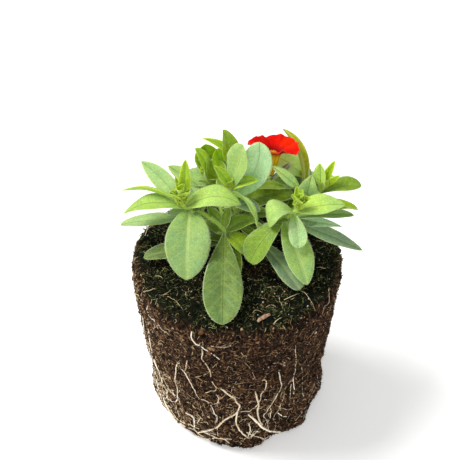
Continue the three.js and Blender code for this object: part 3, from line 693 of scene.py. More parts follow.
roots = dict(
    end=0.62, sunk=0.14, tucked=0.4, rootlets=560, footRoots=15,
    front=[  # thickness, paleness, and points of degrees round the block and height
        (0.9, 0.95, [(-114, 87), (-114, 84), (-112, 80), (-109, 79), (-107, 77), (-105, 76), (-102, 74),
            (-99, 71)]),
        (0.8, 0.7, [(-109, 77), (-108, 74), (-109, 70), (-107, 67), (-105, 62), (-104, 55), (-102, 51),
            (-103, 47), (-106, 46), (-109, 44)]),
        (0.8, 0.85, [(-127, 58), (-128, 54), (-130, 46), (-131, 40), (-130, 35), (-130, 31), (-132, 27),
            (-135, 22), (-135, 17), (-133, 5)]),
        (0.55, 0.75, [(-126, 43), (-128, 38), (-129, 34), (-130, 31)]),
        (0.8, 0.7, [(-119, 64), (-120, 58), (-121, 55)]),
        (0.85, 0.95, [(-125, 54), (-122, 52), (-119, 49), (-118, 46), (-116, 43), (-115, 40), (-114, 38)]),
        (0.65, 0.85, [(-113, 37), (-109, 37), (-107, 35), (-105, 32), (-104, 30), (-103, 27), (-103, 5)]),
        (0.6, 0.9, [(-103, 44), (-101, 42), (-102, 38), (-105, 36)]),
        (1.0, 1.0, [(-156, 62), (-153, 50), (-156, 42), (-157, 36), (-154, 35)]),
        (1.0, 0.98, [(-154, 44), (-151, 41), (-148, 39), (-147, 35), (-145, 32), (-142, 30), (-142, 27),
            (-144, 21), (-148, 15), (-146, 4)]),
        (0.7, 0.85, [(-162, 45), (-160, 38), (-157, 30), (-154, 27), (-151, 25), (-153, 19), (-148, 20)]),
        (1.1, 0.97, [(-166, 34), (-160, 24), (-153, 14), (-150, 11), (-148, 4)]),
        (0.45, 0.7, [(-141, 43), (-144, 38), (-147, 34)]),
        (0.75, 0.9, [(-144, 20), (-138, 22), (-134, 24), (-132, 27)]),
        (0.5, 0.9, [(-136, 33), (-134, 30), (-133, 28), (-133, 25)]),
        (0.55, 0.9, [(-156, 7), (-144, 13), (-139, 15), (-137, 15)]),
        (0.6, 0.9, [(-132, 27), (-130, 26), (-129, 24), (-127, 21)]),
        (1.1, 1.0, [(-126, 21), (-122, 20), (-120, 17), (-120, 13), (-122, 7)]),
        (0.6, 0.85, [(-131, 11), (-128, 10), (-126, 7)]),
        (0.55, 0.75, [(-115, 20), (-117, 16), (-120, 11), (-123, 7)]),
        (0.55, 0.8, [(-117, 23), (-114, 21), (-110, 18), (-108, 14)]),
        (0.5, 0.85, [(-113, 30), (-112, 27), (-113, 23)]),
        (1.15, 0.74, [(-100, 51), (-95, 46), (-92, 43), (-90, 40), (-88, 37), (-89, 34), (-90, 32),
            (-93, 29), (-96, 26), (-100, 22), (-104, 17), (-109, 12), (-114, 9), (-120, 5)]),
        (1.05, 0.8, [(-89, 34), (-90, 28), (-90, 23), (-89, 20), (-87, 16), (-85, 13), (-81, 10), (-78, 12),
            (-75, 15)]),
        (0.75, 0.8, [(-76, 55), (-73, 53), (-73, 48), (-75, 44), (-76, 39), (-79, 36), (-81, 32), (-84, 32),
            (-88, 32)]),
        (1.15, 0.8, [(-79, 47), (-78, 42), (-77, 38), (-77, 33), (-77, 28), (-75.5, 23), (-72.5, 18)]),
        (0.8, 0.85, [(-84, 16), (-80, 12), (-75, 9), (-69, 6), (-63, 4), (-57, 2)]),
        (1.35, 0.98, [(-83, 30), (-79, 25), (-75, 20), (-71.5, 15.5), (-67.5, 12), (-64, 9.2), (-60.5, 7.2),
            (-57, 5)]),
        (0.6, 0.85, [(-90, 21), (-87, 24), (-85, 26), (-81, 26)]),
        (0.75, 0.85, [(-66, 61), (-64, 56), (-63, 50), (-61, 44), (-63, 40), (-65, 37), (-68, 34),
            (-69, 32), (-71, 29), (-73, 26), (-71, 23), (-69, 20)]),
        (0.6, 0.8, [(-69, 32), (-67, 26), (-68, 22), (-69, 18), (-67, 8)]),
        (0.62, 0.62, [(-55, 72), (-55, 66), (-53, 60), (-52, 55), (-52, 50), (-53, 46), (-55, 44),
            (-58, 39), (-60, 33), (-61, 29), (-63, 25), (-65, 21), (-63, 16), (-62, 6)]),
        (0.7, 1.0, [(-53, 50), (-52, 42), (-51, 36), (-51, 32)]),
        (0.6, 0.85, [(-53, 41), (-54, 35), (-54, 30), (-54, 25)]),
        (0.45, 0.7, [(-50, 35), (-50, 29), (-51, 25)]),
        (0.5, 0.7, [(-47, 54), (-45, 45), (-44, 38), (-44, 31), (-42, 25)]),
        (0.5, 0.75, [(-64, 31), (-61, 28), (-60, 25)]),
        (0.75, 1.0, [(-63, 25), (-58, 20), (-53, 16)]),
        (0.55, 0.65, [(-22, 16), (-26, 8), (-31, 5)]),
        (0.5, 0.9, [(-74, 40), (-71, 39), (-67, 36)]),
        (0.9, 0.9, [(-82, 22), (-81, 18), (-81, 14), (-82, 9)]),
        (0.5, 0.85, [(-79, 18), (-80, 15), (-82, 11)]),
        (0.5, 0.85, [(-74, 16), (-78, 14), (-81, 9)]),
        (0.6, 0.7, [(-82, 11), (-85, 8), (-88, 3)]),
        (0.8, 0.95, [(-112, 3), (-107, 6), (-102, 8), (-98, 8), (-94, 6)]),
        (0.45, 0.6, [(-96, 46), (-99, 42), (-101, 40)]),
        (0.45, 0.95, [(-94, 44), (-92, 46), (-91, 48)]),
        (0.4, 0.7, [(-84, 40), (-81, 40), (-78, 38)]),
        (1.0, 0.95, [(-158, 6), (-148, 5), (-138, 4), (-128, 5), (-120, 6), (-114, 3)]),
        (0.7, 0.95, [(-147, 84), (-148, 80), (-146, 77), (-142, 77), (-139, 74)]),
        (1.05, 1.0, [(-171, 64), (-168, 52), (-166, 42), (-168, 33), (-164, 22), (-160, 12), (-156, 4)]),
        (0.95, 0.97, [(-163, 66), (-162, 57), (-159, 50), (-160, 43), (-157, 36), (-159, 28), (-155, 18)]),
        (0.9, 0.95, [(-176, 48), (-172, 38), (-171, 27), (-167, 17), (-163, 8), (-157, 3)]),
        (0.6, 0.85, [(-168, 58), (-165, 47), (-162, 34), (-158, 22), (-156, 12)]),
        (0.7, 0.95, [(-152, 32), (-155, 24), (-158, 15), (-156, 6)]),
        (0.6, 0.9, [(-150, 27), (-147, 18), (-143, 11), (-140, 4)]),
    ],
    back=[1, 24, 47, 70, 93, 116, 139, 162],
)
rootCream = strandMaterial("rootCream", [
    (0.0, "#5d4330"), (0.25, "#92704d"), (0.5, "#c4a781"), (0.75, "#e6d5b4"), (1.0, "#fbf2e0")], 0.6)


def ringHeight(degrees):
    turn = np.radians(degrees)
    return 4.7 + 1.5 * np.sin(4 * turn) + 0.6 * np.sin(11 * turn)


def layRoot(bag, random, knots, thick, end, shade, wobble=0.45):
    # a root through points of degrees and height, half sunk in the peat
    path = centripetal([(math.radians(degrees) * meanRadius, level, 0) for degrees, level in knots], 7)

    def wander(size):
        return cloud(path, size, int(random.integers(90)))

    path[:, :2] += wobble * np.stack([wander(4.5), wander(4.5)], -1)
    places, ways = onWall(path[:, 0] / meanRadius, np.maximum(path[:, 1], 0.7))
    for passes in range(3):
        places[1:-1] = between(places)
        ways[1:-1] = unit(between(ways))
    radius = thick * np.linspace(1, end, len(path)) * (1 + 0.16 * wander(3))
    radius[:4] *= [0.35, 0.6, 0.8, 0.93]
    radius[-1] *= 0.3
    dive = 0.25 * np.maximum(0, wander(5) - 0.35)  # it dips into the peat here and there
    lift = radius * 0.6 - roots["sunk"] - dive
    lift[[0, -1]] = -roots["tucked"]
    tone = np.clip(shade + 0.2 * wander(6), 0, 1)
    bag.addStrand(places + ways * lift[:, None], radius, ways, 7, shade=tone)


def layRootlets(bag, random):
    count, steps = roots["rootlets"], 9
    angle = random.uniform(-np.pi, np.pi, count)
    low = random.uniform(0, 1, count) < 0.55
    left = low & (random.uniform(0, 1, count) < 0.6)
    angle = np.where(left, np.radians(random.normal(-160, 20, count)), angle)  # they crowd the lower left
    front = (angle > math.radians(-138)) & (angle < math.radians(-30)) & (random.uniform(0, 1, count) < 0.72)
    angle = np.where(front, -angle, angle)  # fewer on the front
    level = np.where(low, 3 + 42 * random.uniform(0, 1, count) ** 1.5, 84 * random.uniform(0.05, 1, count))
    heading = np.radians(random.normal(-90, 55, count))
    leg = random.gamma(3.2, 0.42, count) + 0.5
    turns = heading[:, None] + np.cumsum(random.normal(0, 0.36, (count, steps)), axis=1)
    x = angle[:, None] * meanRadius + np.cumsum(np.cos(turns) * leg[:, None], axis=1)
    y = np.clip(level[:, None] + np.cumsum(np.sin(turns) * leg[:, None], axis=1), 0.8, peat["height"] - 2)
    places, ways = (found.reshape(count, steps, 3) for found in onWall((x / meanRadius).ravel(), y.ravel()))
    places[:, 1:-1] = between(places)
    radius = random.uniform(0.1, 0.2, count)[:, None] * np.linspace(1, 0.55, steps)
    lift = radius * 0.6
    lift[:, [0, -1]] = -roots["tucked"]
    shade = np.clip(random.beta(3.2, 2.2, count), 0, 1)
    bag.addStrands(places + ways * lift[..., None], radius, ways, 5, shade=shade)


def layBackRoot(bag, random, start):
    # a root down the back with three forks
    top = random.uniform(44, 80)
    drift = random.uniform(-8, 8)
    knots = [(start + drift * bend / 4 + random.uniform(-4, 4), top + (5 - top) * bend / 4)
             for bend in range(5)]
    layRoot(bag, random, knots, 0.38, roots["end"], 0.82, wobble=1.3)
    for degrees, level in knots[1:4]:
        way = random.choice([-1, 1])
        low = level - random.uniform(9, 16)
        branch = [(degrees, level), (degrees + 5 * way, level - 5), (degrees + 9 * way, max(low, 1.5))]
        layRoot(bag, random, branch, 0.25, 0.6, 0.78, wobble=0.9)


def makeRoots():
    random = np.random.default_rng(11)
    bag = Bag("shade")
    for thick, shade, knots in roots["front"]:
        layRoot(bag, random, knots, 0.4 * thick, roots["end"] + 0.25 * (thick > 1), shade)
    for start in roots["back"]:
        layBackRoot(bag, random, start)
    for strand in range(roots["footRoots"]):
        start = random.uniform(0, 230)  # from the right side round the back to the front
        sweep = np.arange(start, start + random.uniform(30, 75), 7)
        level = ringHeight(sweep) + random.uniform(-2.8, 5)
        level = level + 1.6 * np.sin(np.radians(sweep * random.uniform(3, 7)))
        layRoot(bag, random, list(zip(sweep, np.maximum(level, 0.9))), random.uniform(0.2, 0.46), 0.7, 0.8)
    makePiece("root_net_fine", bag, rootCream, "root", "root_net")
    bag = Bag("shade")
    layRootlets(bag, random)
    makePiece("rootlets", bag, rootCream, "root")


makeRoots()

# Leaves

blade = dict(
    fold=16, thick=0.3, rib=0.5, groove=0.28, wave=0.07,
    fine=(25, 17), coarse=(13, 9),  # rows along a leaf and stations across it
)
stem = dict(
    foot=80.8, out=89, steps=14,  # levels in the peat and out of it, samples on each leg
    low=1.2, high=0.95, fillers=9,  # radii at the foot and the tip, small leaves on the way
)
goldenTurn = 137.5  # degrees from one young leaf to the next

# how fast each outline opens at the leaf's foot and closes at its tip
outlines = {
    "spoon": (1.25, 0.58), "oval": (0.72, 0.68), "round": (0.85, 0.5), "blunt": (0.95, 0.44),
    "pointed": (0.75, 0.82), "lance": (0.85, 0.88), "wedge": (0.35, 0.9), "young": (0.6, 0.68)}

# how each kind of leaf looks: age, blue bloom, olive, brightness, pale midrib band, painted shade in the
# midrib crease, specks
# on several looks the brightness is painted light or painted shade, as marked below
looks = {
    "fresh": (0.28, 0.24, 0.0, 1.14, 0.3, 0.6, 0.0),
    "upright": (0.38, 0.28, 0.0, 0.93, 0.6, 0.3, 0.0),
    # painted shade: this leaf is painted darker
    "shady": (0.55, 0.0, 0.3, 0.76, 0.2, 0.8, 0.0),
    "sunny": (0.26, 0.1, 0.0, 1.24, 0.15, 0.6, 0.0),
    # painted light: the next three are brightened well beyond their own colour, on leaves the lamps leave in
    # shade; the third is also bluish
    "lit": (0.3, 0.25, 0.0, 1.5, 0.15, 0.4, 0.0),
    "backlit": (0.3, 0.45, 0.0, 2.05, 0.1, 0.4, 0.0),
    "frost": (0.4, 1.2, 0.0, 1.8, 0.1, 0.3, 0.0),
    "soft": (0.32, 0.4, 0.0, 1.1, 0.15, 0.35, 0.0),
    "milky": (0.34, 0.8, 0.0, 1.36, 0.15, 0.2, 0.0),
    "ashen": (0.4, 0.65, 0.0, 1.04, 0.1, 0.4, 0.1),
    "mint": (0.35, 0.45, 0.0, 1.15, 0.2, 0.6, 0.0),
    "deep": (0.9, 0.85, 0.0, 0.7, 0.5, 0.0, 0.2),
    "bright": (0.1, 0.0, 0.25, 1.05, 0.25, 0.4, 0.0),
    "leafy": (0.3, 0.12, 0.08, 0.9, 0.2, 0.6, 0.1),
    "lime": (0.05, 0.0, 0.36, 1.02, 0.2, 0.3, 0.0),
    "tip": (0.0, 0.0, 0.5, 0.98, 0.1, 0.2, 0.0),
    "mid": (0.5, 0.12, 0.0, 1.0, 0.75, 0.25, 0.1),
    "broad": (0.46, 0.34, 0.0, 0.88, 0.66, 0.1, 0.1),
    "older": (0.7, 0.1, 0.12, 0.58, 0.15, 0.7, 0.8),
    "dusk": (0.8, 0.4, 0.15, 0.52, 0.4, 0.2, 1.0),
    "grey": (0.5, 0.55, 0.0, 0.95, 0.2, 0.6, 0.15),
    "pale": (0.35, 0.5, 0.0, 0.96, 0.2, 0.6, 0.1),
    "olive": (0.7, 0.0, 0.6, 0.85, 0.35, 0.3, 0.0),
    "yellow": (0.12, 0.0, 0.65, 1.0, 0.3, 0.4, 0.0),
    "dark": (0.95, 0.0, 0.6, 0.7, 0.25, 0.4, 0.1),
    "blue": (0.75, 1.0, 0.0, 0.86, 0.2, 0.7, 0.0),
    # painted light: the next four are brightened as painted light; the fifth is darkened as painted shade
    # inside a cupped leaf
    "silver": (0.4, 1.0, 0.0, 1.66, 0.15, 0.35, 0.0),
    "hollow": (0.2, 0.0, 0.9, 1.18, 0.2, 0.3, 0.0),
    "edge": (0.1, 0.0, 0.8, 1.5, 0.2, 0.3, 0.0),
    "glow": (0.1, 0.0, 0.4, 1.38, 0.2, 0.2, 0.0),
    "cave": (0.8, 0.0, 0.88, 0.95, 0.1, 0.2, 0.0),
    "tall": (0.5, 0.0, 1.0, 1.0, 0.9, 0.2, 0.0),
}

# each leafy stem, where young is the count, size and turn of the leaves at its tip
shoots = {
    "shoot_left": dict(
        foot=(-6, 1), way=[(-5.7, 1, 105), (-14, 3.6, 112), (-20.7, 3.4, 115.5), (-24.6, 3.2, 118)],
        young=(6, 13, 60),
        leaves=[  # height on the stem, tip, arch, width, roll, outline, look, swing where it has one
            (105, (-6.3, -44.6, 91.4), 2.5, 17.5, 0, "spoon", "older"),
            (104, (9.6, 5.6, 107.5), 2, 9, 0, "oval", "olive"),
            (102, (5, -8, 96.5), 3, 11, -12, "pointed", "bright"),
            (99, (0.8, -18, 93.5), 2, 8, 10, "lance", "dark"),
            (97, (-41.8, -4.3, 93.2), 1.5, 11, 0, "spoon", "dusk"),
            (99, (-14.6, 8.6, 95.5), 1.4, 9.5, 0, "oval", "dark"),
            (101.5, (-13.6, 15.6, 99.4), 1.2, 8.5, 0, "oval", "olive"),
            (110, (-53, 13, 97.8), 1.5, 8.6, 0, "blunt", "ashen"),
            (113, (-31, 7.4, 109), 1.5, 9, 0, "oval", "grey"),
            (113, (-20.6, 16, 117.2), 1.4, 9, 0, "oval", "grey"),
            (115.5, (-22, -22.7, 97), 3.5, 20, 0, "oval", "broad"),
            (116.5, (2, 5, 116.5), 5.4, 15, 0, "pointed", "fresh"),
            (106, (-13, 10, 111), 1, 5, 0, "oval", "olive"),
            (105, (-3.5, 9, 111.5), 1, 4.5, 0, "oval", "olive"),
            (116, (-50.7, 6.3, 110), 5, 10.4, 0, "pointed", "leafy"),
            (117, (-43, 24, 126), 2, 8.6, -34, "pointed", "ashen"),
            (116.5, (-51.6, 14, 117), 5, 5.8, 36, "lance", "bright"),
            (117, (-22.4, 10.4, 138), 1, 5.4, 0, "oval", "yellow"),
            (117.5, (-26.8, 5.4, 129), 1.6, 5.4, 0, "young", "tip"),
            (117.5, (-27.2, 8.4, 130.8), 1.2, 4.2, 0, "lance", "hollow"),
            (117, (-29.7, 2.2, 127), 1, 3.6, 20, "young", "tip"),
            (117, (-21.2, 3.6, 127.5), 0.8, 3.4, -30, "young", "tip"),
        ]),
    "shoot_centre": dict(
        foot=(0.5, 12.5), way=[(0, 13.6, 104), (-2, 14, 113), (-3, 13, 119.5)], young=(3, 7, 40),
        leaves=[
            (119, (2.6, 14.6, 143), -0.5, 12.2, 26, "round", "upright"),
            (113, (9.8, 15.1, 144), -4, 13.8, 66, "round", "silver"),
            (119, (-10.3, 12, 133), 1, 5, -50, "lance", "lime"),
            (118.6, (9.3, 8.6, 127.6), 1.5, 5.6, 25, "oval", "lime"),
            (116, (9.4, -1.8, 107.8), 7.2, 8.6, -45, "lance", "lit"),
            (107.5, (26.6, 17.9, 111), 4, 13.5, 14, "pointed", "dark"),
            (99, (15, 22.4, 97.5), 1.6, 9.5, 0, "oval", "dark"),
            (98, (13.2, 12.4, 96.5), 1.2, 8, 0, "oval", "dark"),
            (112, (-8.6, 21.6, 117.6), 1.2, 8, 0, "oval", "olive"),
            (109, (10.5, 7, 111), 1.5, 6.5, 20, "oval", "blue"),
        ]),
    "shoot_back_left": dict(
        foot=(-5, 9.5), way=[(-6, 14, 101), (-10, 24, 108), (-14.3, 30, 113)], young=(4, 8, 20),
        leaves=[
            (112, (-13.9, 29, 124.6), 0.5, 4.4, 0, "young", "glow"),
            (112, (-18.8, 29.6, 129), 2, 6.6, -24, "oval", "glow"),
            (112, (-14.2, 34.4, 127.6), -2.5, 11.6, 8, "round", "hollow"),
            (109, (-8.4, 32.4, 120.2), 1.4, 10.6, 8, "round", "cave"),
            (105, (-31.5, 34, 115), 1.5, 9, -10, "oval", "pale"),
            (108, (-20, 47, 103), 4, 9, 0, "oval", "mid"),
            (104, (-21.5, 23, 111), 1.5, 8.5, 0, "oval", "dusk"),
        ]),
    "shoot_back": dict(
        foot=(-0.5, 18), way=[(-0.5, 22, 102), (0, 29, 109), (0.5, 34, 114)], young=(3, 7, 50),
        leaves=[
            (113, (-6.2, 37.6, 133.4), -1, 14, 10, "pointed", "edge"),
            (113, (-15.8, 34.5, 130.8), 4.6, 4.6, -20, "lance", "yellow"),
            (111, (-9.2, 33.6, 125.4), -2, 11.2, -24, "round", "glow"),
            (108, (-9.4, 31.4, 116.4), 1.2, 9.6, -4, "round", "cave"),
            (109, (6, 51, 101), 4, 9, 0, "oval", "mid"),
            (107, (19, 45, 103), 4, 8, 0, "oval", "older"),
        ]),
    "shoot_upright": dict(
        foot=(10, 10), way=[(18.5, 15.5, 101), (27, 22, 107), (31, 26.5, 109.7), (30.6, 31.5, 111)],
        young=(2, 3.4, 40),
        leaves=[
            (109.4, (21.2, 46.5, 127), 4.0, 6.8, 24, "oval", "tall", -2.4),
            (108.6, (15.6, 20.6, 126), 0.4, 5.8, -45, "lance", "backlit"),
            (109.4, (6.4, 14.8, 118), 1, 6.8, 0, "oval", "olive"),
            (110.9, (18.4, 37, 117.4), 2, 14.5, 0, "round", "backlit"),
            (108, (39, 43, 102), 4, 9, 0, "oval", "mid"),
            (105, (17, 36, 108.4), 1.5, 9, 0, "oval", "dark"),
            (106, (26.5, 36, 110.4), 1.5, 7.5, 0, "oval", "dusk"),
            (103, (30, 16.5, 107.5), 1, 6.5, 0, "oval", "dark"),
        ]),
    "shoot_right": dict(
        foot=(5, 0), way=[(10, 0, 103), (18.5, -0.5, 111), (23, -0.8, 115), (27.4, -0.6, 119)],
        young=(6, 10, 10),
        leaves=[
            (118.6, (26.1, 3, 129), 0.8, 4, 0, "young", "tip"),
            (118.4, (28.8, 2.4, 127.6), 0.8, 3.6, 0, "young", "tip"),
            (118.2, (24.2, 0.4, 125), 1, 3.4, 15, "young", "tip"),
            (118.2, (30.4, 1.2, 125.4), 1, 3.4, -15, "young", "tip"),
            (117.5, (47.9, 4.5, 117), 1.5, 12, 5, "pointed", "sunny"),
            (117, (14.2, -5, 112.6), 6.5, 13.6, 4, "oval", "soft"),
            (116.5, (27.1, -14.9, 109), 2.5, 8.2, 0, "blunt", "milky"),
            (113.5, (30.8, -23.8, 95), 1.5, 13, 0, "oval", "mid"),
            (114.5, (54.3, 10, 110), 4, 8.6, 0, "round", "yellow"),
            (112, (52.8, 9, 107), 2, 7, 0, "spoon", "grey"),
            (113.6, (56.4, -3.6, 97), 0.4, 8.4, 8, "oval", "blue"),
            (109.5, (47.5, 5, 103.4), 2.2, 7, 0, "lance", "frost"),
            (113.5, (5.5, -13.6, 99), 3, 13, 0, "blunt", "shady"),
            (101, (27.7, -24.7, 92.8), 2, 10, 0, "blunt", "deep"),
        ]),
    "shoot_back_right": dict(
        foot=(10, 4), way=[(19, 8.5, 102), (32, 15, 108.5), (39, 19.5, 113.5)], young=(4, 8, 80),
        leaves=[
            (111.5, (56.7, 23.2, 113), 2, 9.5, 5, "spoon", "olive"),
            (113, (44, 21.8, 128), 0.5, 3.8, 30, "oval", "tip"),
            (112.5, (37.3, 21.3, 127), 0.5, 6.6, -40, "oval", "sunny"),
            (108, (33.6, 17.9, 123), 0.5, 11, 25, "wedge", "mint"),
            (113, (46.8, 22.5, 119), 0.5, 3.2, 20, "lance", "tip"),
            (112.5, (36.2, 16.2, 121), 0.8, 4, -10, "young", "tip"),
            (111, (32.7, 23.5, 123), 0.5, 3, -50, "lance", "blue"),
            (111, (46, 37, 106), 4, 9, 0, "oval", "mid"),
        ]),
}
leafMasks = (
    "age", "blue", "olive", "tone", "band", "crease", "off", "margin", "across", "along", "under", "speck")
leafShine = {
    "Specular Tint": (1.0, 1.0, 0.4, 1), "Sheen Weight": 0.05, "Sheen Tint": (1.0, 1.0, 0.5, 1),
    "Sheen Roughness": 0.5, "Subsurface Weight": 0.12, "Subsurface Scale": 0.0012,
    "Subsurface Radius": (0.6, 1.0, 0.15),
}
hairSpots = []  # root, way and length of every hair, gathered while the leaves are laid


def bladeFrame(start, tip, arch, roll, swing, shares):
    # the midrib of a leaf, with the ways across it and up from it
    start, tip = np.asarray(start, float), np.asarray(tip, float)
    chord = tip - start
    reach = math.hypot(chord[0], chord[1])
    ahead = np.array([chord[0], chord[1], 0]) / reach
    bow = unit(ahead * -chord[2] + np.array([0, 0, reach]))
    level = np.array([-ahead[1], ahead[0], 0])
    sag = 4 * (arch * bow + swing * level)
    share = shares[:, None]
    middle = start + chord * share + sag * share * (1 - share)
    along = unit(chord + sag * (1 - 2 * share))
    side = unit(level - along * (along @ level)[:, None])
    turned = side * math.cos(math.radians(roll)) + np.cross(along, side) * math.sin(math.radians(roll))
    return middle, turned, unit(np.cross(along, turned))


def aroundLeaf(upper, lower):
    # the upper side from margin to margin, then the lower side back
    return np.concatenate([upper, lower[:, ::-1][:, 1:-1]], axis=1)


def layLeafHairs(random, middle, side, up, upper, width, fine):
    # hairs on both margins, and over the face of a large leaf
    rows, stations, _ = upper.shape
    length = np.linalg.norm(middle[-1] - middle[0])
    count = int(length * 3.2 + 8) if fine else int(length * 0.4)
    spot = random.integers(1, rows - 1, count)
    end = random.choice([0, stations - 1], count)
    root = upper[spot, end] + (upper[spot + 1, end] - upper[spot, end]) * random.uniform(0, 1, (count, 1))
    outward = side[spot] * np.where(end == 0, -1, 1)[:, None]
    way = outward + up[spot] * random.uniform(-0.2, 0.9, (count, 1)) + random.normal(0, 0.25, (count, 3))
    hairSpots.append((root, unit(way), random.uniform(0.35, 0.8, count)))
    if fine and width > 6:
        count = int(length * width * 0.14)
        spot, end = random.integers(2, rows - 1, count), random.integers(1, stations - 1, count)
        way = unit(up[spot] + random.normal(0, 0.35, (count, 3)))
        hairSpots.append((upper[spot, end], way, random.uniform(0.25, 0.55, count)))


def layLeaf(bag, random, start, tip, arch, width, roll, outline, look,
            swing=0, cup=-0.12, fold=blade["fold"], fine=True):
    rows, stations = blade["fine" if fine else "coarse"]
    base, close = outlines[outline]
    widest = base / (base + close)
    shares = 1 - (1 - np.linspace(0, 1, rows)) ** 1.25
    opened = (shares / widest) ** base * ((1 - shares) / (1 - widest)) ** close
    stalk = 0.5 * (1 - smoothStep(0.25, 0.5, shares))
    middle, side, up = bladeFrame(start, tip, arch, roll, swing, shares)
    reach = np.linspace(-1, 1, stations)
    across = np.sign(reach) * np.abs(reach) ** 0.92
    # u is -1 at one margin and 1 at the other, with the stations closer together there
    u = (across + 0.09 * np.sin(np.pi * across))[None]
    wide = np.maximum(np.maximum(stalk, width / 2 * opened), 0.04)[:, None]
    share = shares[:, None]
    rise = math.tan(math.radians(fold)) * (np.sqrt(u * u + 0.012) - 0.11)
    rise = rise + cup * smoothStep(0.35, 1.15, np.abs(u)) * np.abs(u)
    phase = random.uniform(0, 6.28, 2)
    ripple = blade["wave"] * np.abs(u) ** 2 * np.sin(9 * share + phase[0] + 1.3 * np.sign(u)) * wide
    ripple = ripple + 0.03 * np.sin(5 * share + 3 * u + phase[1]) * wide
    closeness = np.exp(-(u * wide / 0.42) ** 2)
    level = rise * wide + ripple - blade["groove"] * closeness * np.minimum(1, wide / 2)
    flat = middle[:, None] + side[:, None] * (u * wide)[..., None]
    level = level + 0.34 * cloud(flat, 6.5, 12) * np.minimum(1, wide / 4)  # gentle bulges between the veins
    thin = np.clip((1 - np.abs(u)) * 3.5, 0.25, 1) * blade["thick"] / 2 * np.minimum(1, 0.35 + wide / 1.5)
    keel = blade["rib"] * closeness * (1 - share) ** 0.6 * np.minimum(1, wide)
    upper = flat + up[:, None] * (level + thin)[..., None]
    lower = flat + up[:, None] * (level - thin - keel)[..., None]
    points = aroundLeaf(upper, lower)
    columns = points.shape[1]
    age, blue, olive, tone, band, crease, speck = looks[look]
    # painted highlight: the cupped leaves get a broader pale rim, where their rims catch the light
    rim = 0.5 if look in ("hollow", "cave") else 1  # a half gives a broader pale rim
    shape = np.ones((rows, stations))
    masks = dict(  # off and margin are millimetres from the midrib and from the edge
        age=shape * np.clip(age + random.normal(0, 0.03), 0, 1) + 0.1 * (0.5 - share),
        olive=shape * olive + 0.45 * smoothStep(0.42, 0.0, share) * (olive < 0.4),  # yellower by the stem
        blue=shape * blue + (0.2 * share if 0 < blue < 0.4 else 0),
        tone=shape * tone * random.uniform(0.97, 1.03), speck=shape * speck,
        off=np.abs(u) * wide * shape, margin=(1 - np.abs(u)) * wide * shape * rim,
        across=u * shape, along=share * shape,
    )
    masks = {name: aroundLeaf(grid, grid) for name, grid in masks.items()}
    masks["band"] = aroundLeaf(shape * band * (1 - 0.65 * share), 0.5 * shape)
    # painted shade along the midrib crease, on the upper side only
    masks["crease"] = aroundLeaf(crease * shape, 0 * shape)
    masks["under"] = aroundLeaf(0 * shape, shape)
    bag.add(points, ringFaces(rows, columns)[:, [0, 3, 2, 1]], fanCaps(rows, columns)[:, [0, 2, 1]], **masks)
    layLeafHairs(random, middle, side, up, upper, width, fine)


def stemPath(foot, way):
    x, y = foot
    return centripetal([(x, y, stem["foot"]), (x, y, stem["out"]), *way], stem["steps"])


def onStem(path, height):
    return np.array([np.interp(height, path[:, 2], path[:, axis]) for axis in range(3)])


def layStem(bag, random, path, low=stem["low"], high=stem["high"], olive=0.2):
    # a hairy stem, a little thicker where leaves join it
    count = len(path)
    share = np.linspace(0, 1, count)
    radius = low + (high - low) * share + 0.09 * np.sin(share * 40) ** 4
    bag.addStrand(path, radius, (0.3, 1.0, 0.2), 10, age=0.4 - 0.25 * share, blue=0.15, olive=olive,
                  tone=1.0, off=2, margin=2, across=0.5, along=share)
    hairs = 9 * count
    spot = random.integers(int(count * 0.35), count, hairs)
    out = unit(random.normal(0, 1, (hairs, 3)) * [1, 1, 0.5])
    hairSpots.append((path[spot] + out * radius[spot, None] * 0.9, out, random.uniform(0.4, 0.95, hairs)))


def layTuft(bag, random, top, count, size, turn):
    # the young leaves at a stem's tip, each a golden turn on from the last, and a nest of cupped ones inside
    for index in range(count):
        share = index / count
        heading = math.radians(turn + goldenTurn * index)
        tip = top + polar(1.2 + 0.38 * size * (1 - share), heading, size * (0.55 + 0.4 * share))
        layLeaf(bag, random, top - [0, 0, 0.4], tip, 0.9, 2.2 + 0.27 * size, random.uniform(-20, 20),
                "young", "yellow" if index % 2 else "lime", cup=0.3, fold=26, fine=False)
    nest = count + 3
    for index in range(nest):
        share = index / nest
        heading = math.radians(turn + 60 + goldenTurn * index)
        reach = (0.1 + 0.24 * (1 - share)) * size * random.uniform(0.85, 1.15)
        rise = (0.36 + 0.34 * share) * size * random.uniform(0.85, 1.15)
        layLeaf(bag, random, top + polar(0.5, heading, -0.3), top + polar(reach, heading, rise), 1.1,
                1.7 + 0.17 * size, random.uniform(-25, 25), "young", "tip", cup=0.42, fold=28, fine=False)


def layFillers(bag, random, path):
    # small leaves on the stem between the big ones
    for index in range(stem["fillers"]):
        start = onStem(path, random.uniform(97, path[-1, 2] - 1))
        heading = math.radians(goldenTurn * index + random.uniform(-30, 30))
        length, climb = random.uniform(5, 9.5), random.uniform(-0.1, 1.1)
        tip = start + length * unit(polar(1, heading, climb))
        arch, width = random.uniform(0.3, 1.2), length * random.uniform(0.35, 0.5)
        roll, look = random.uniform(-25, 25), random.choice(["dark", "olive", "olive", "older"])
        layLeaf(bag, random, start, tip, arch, width, roll, "oval", look, fine=False)


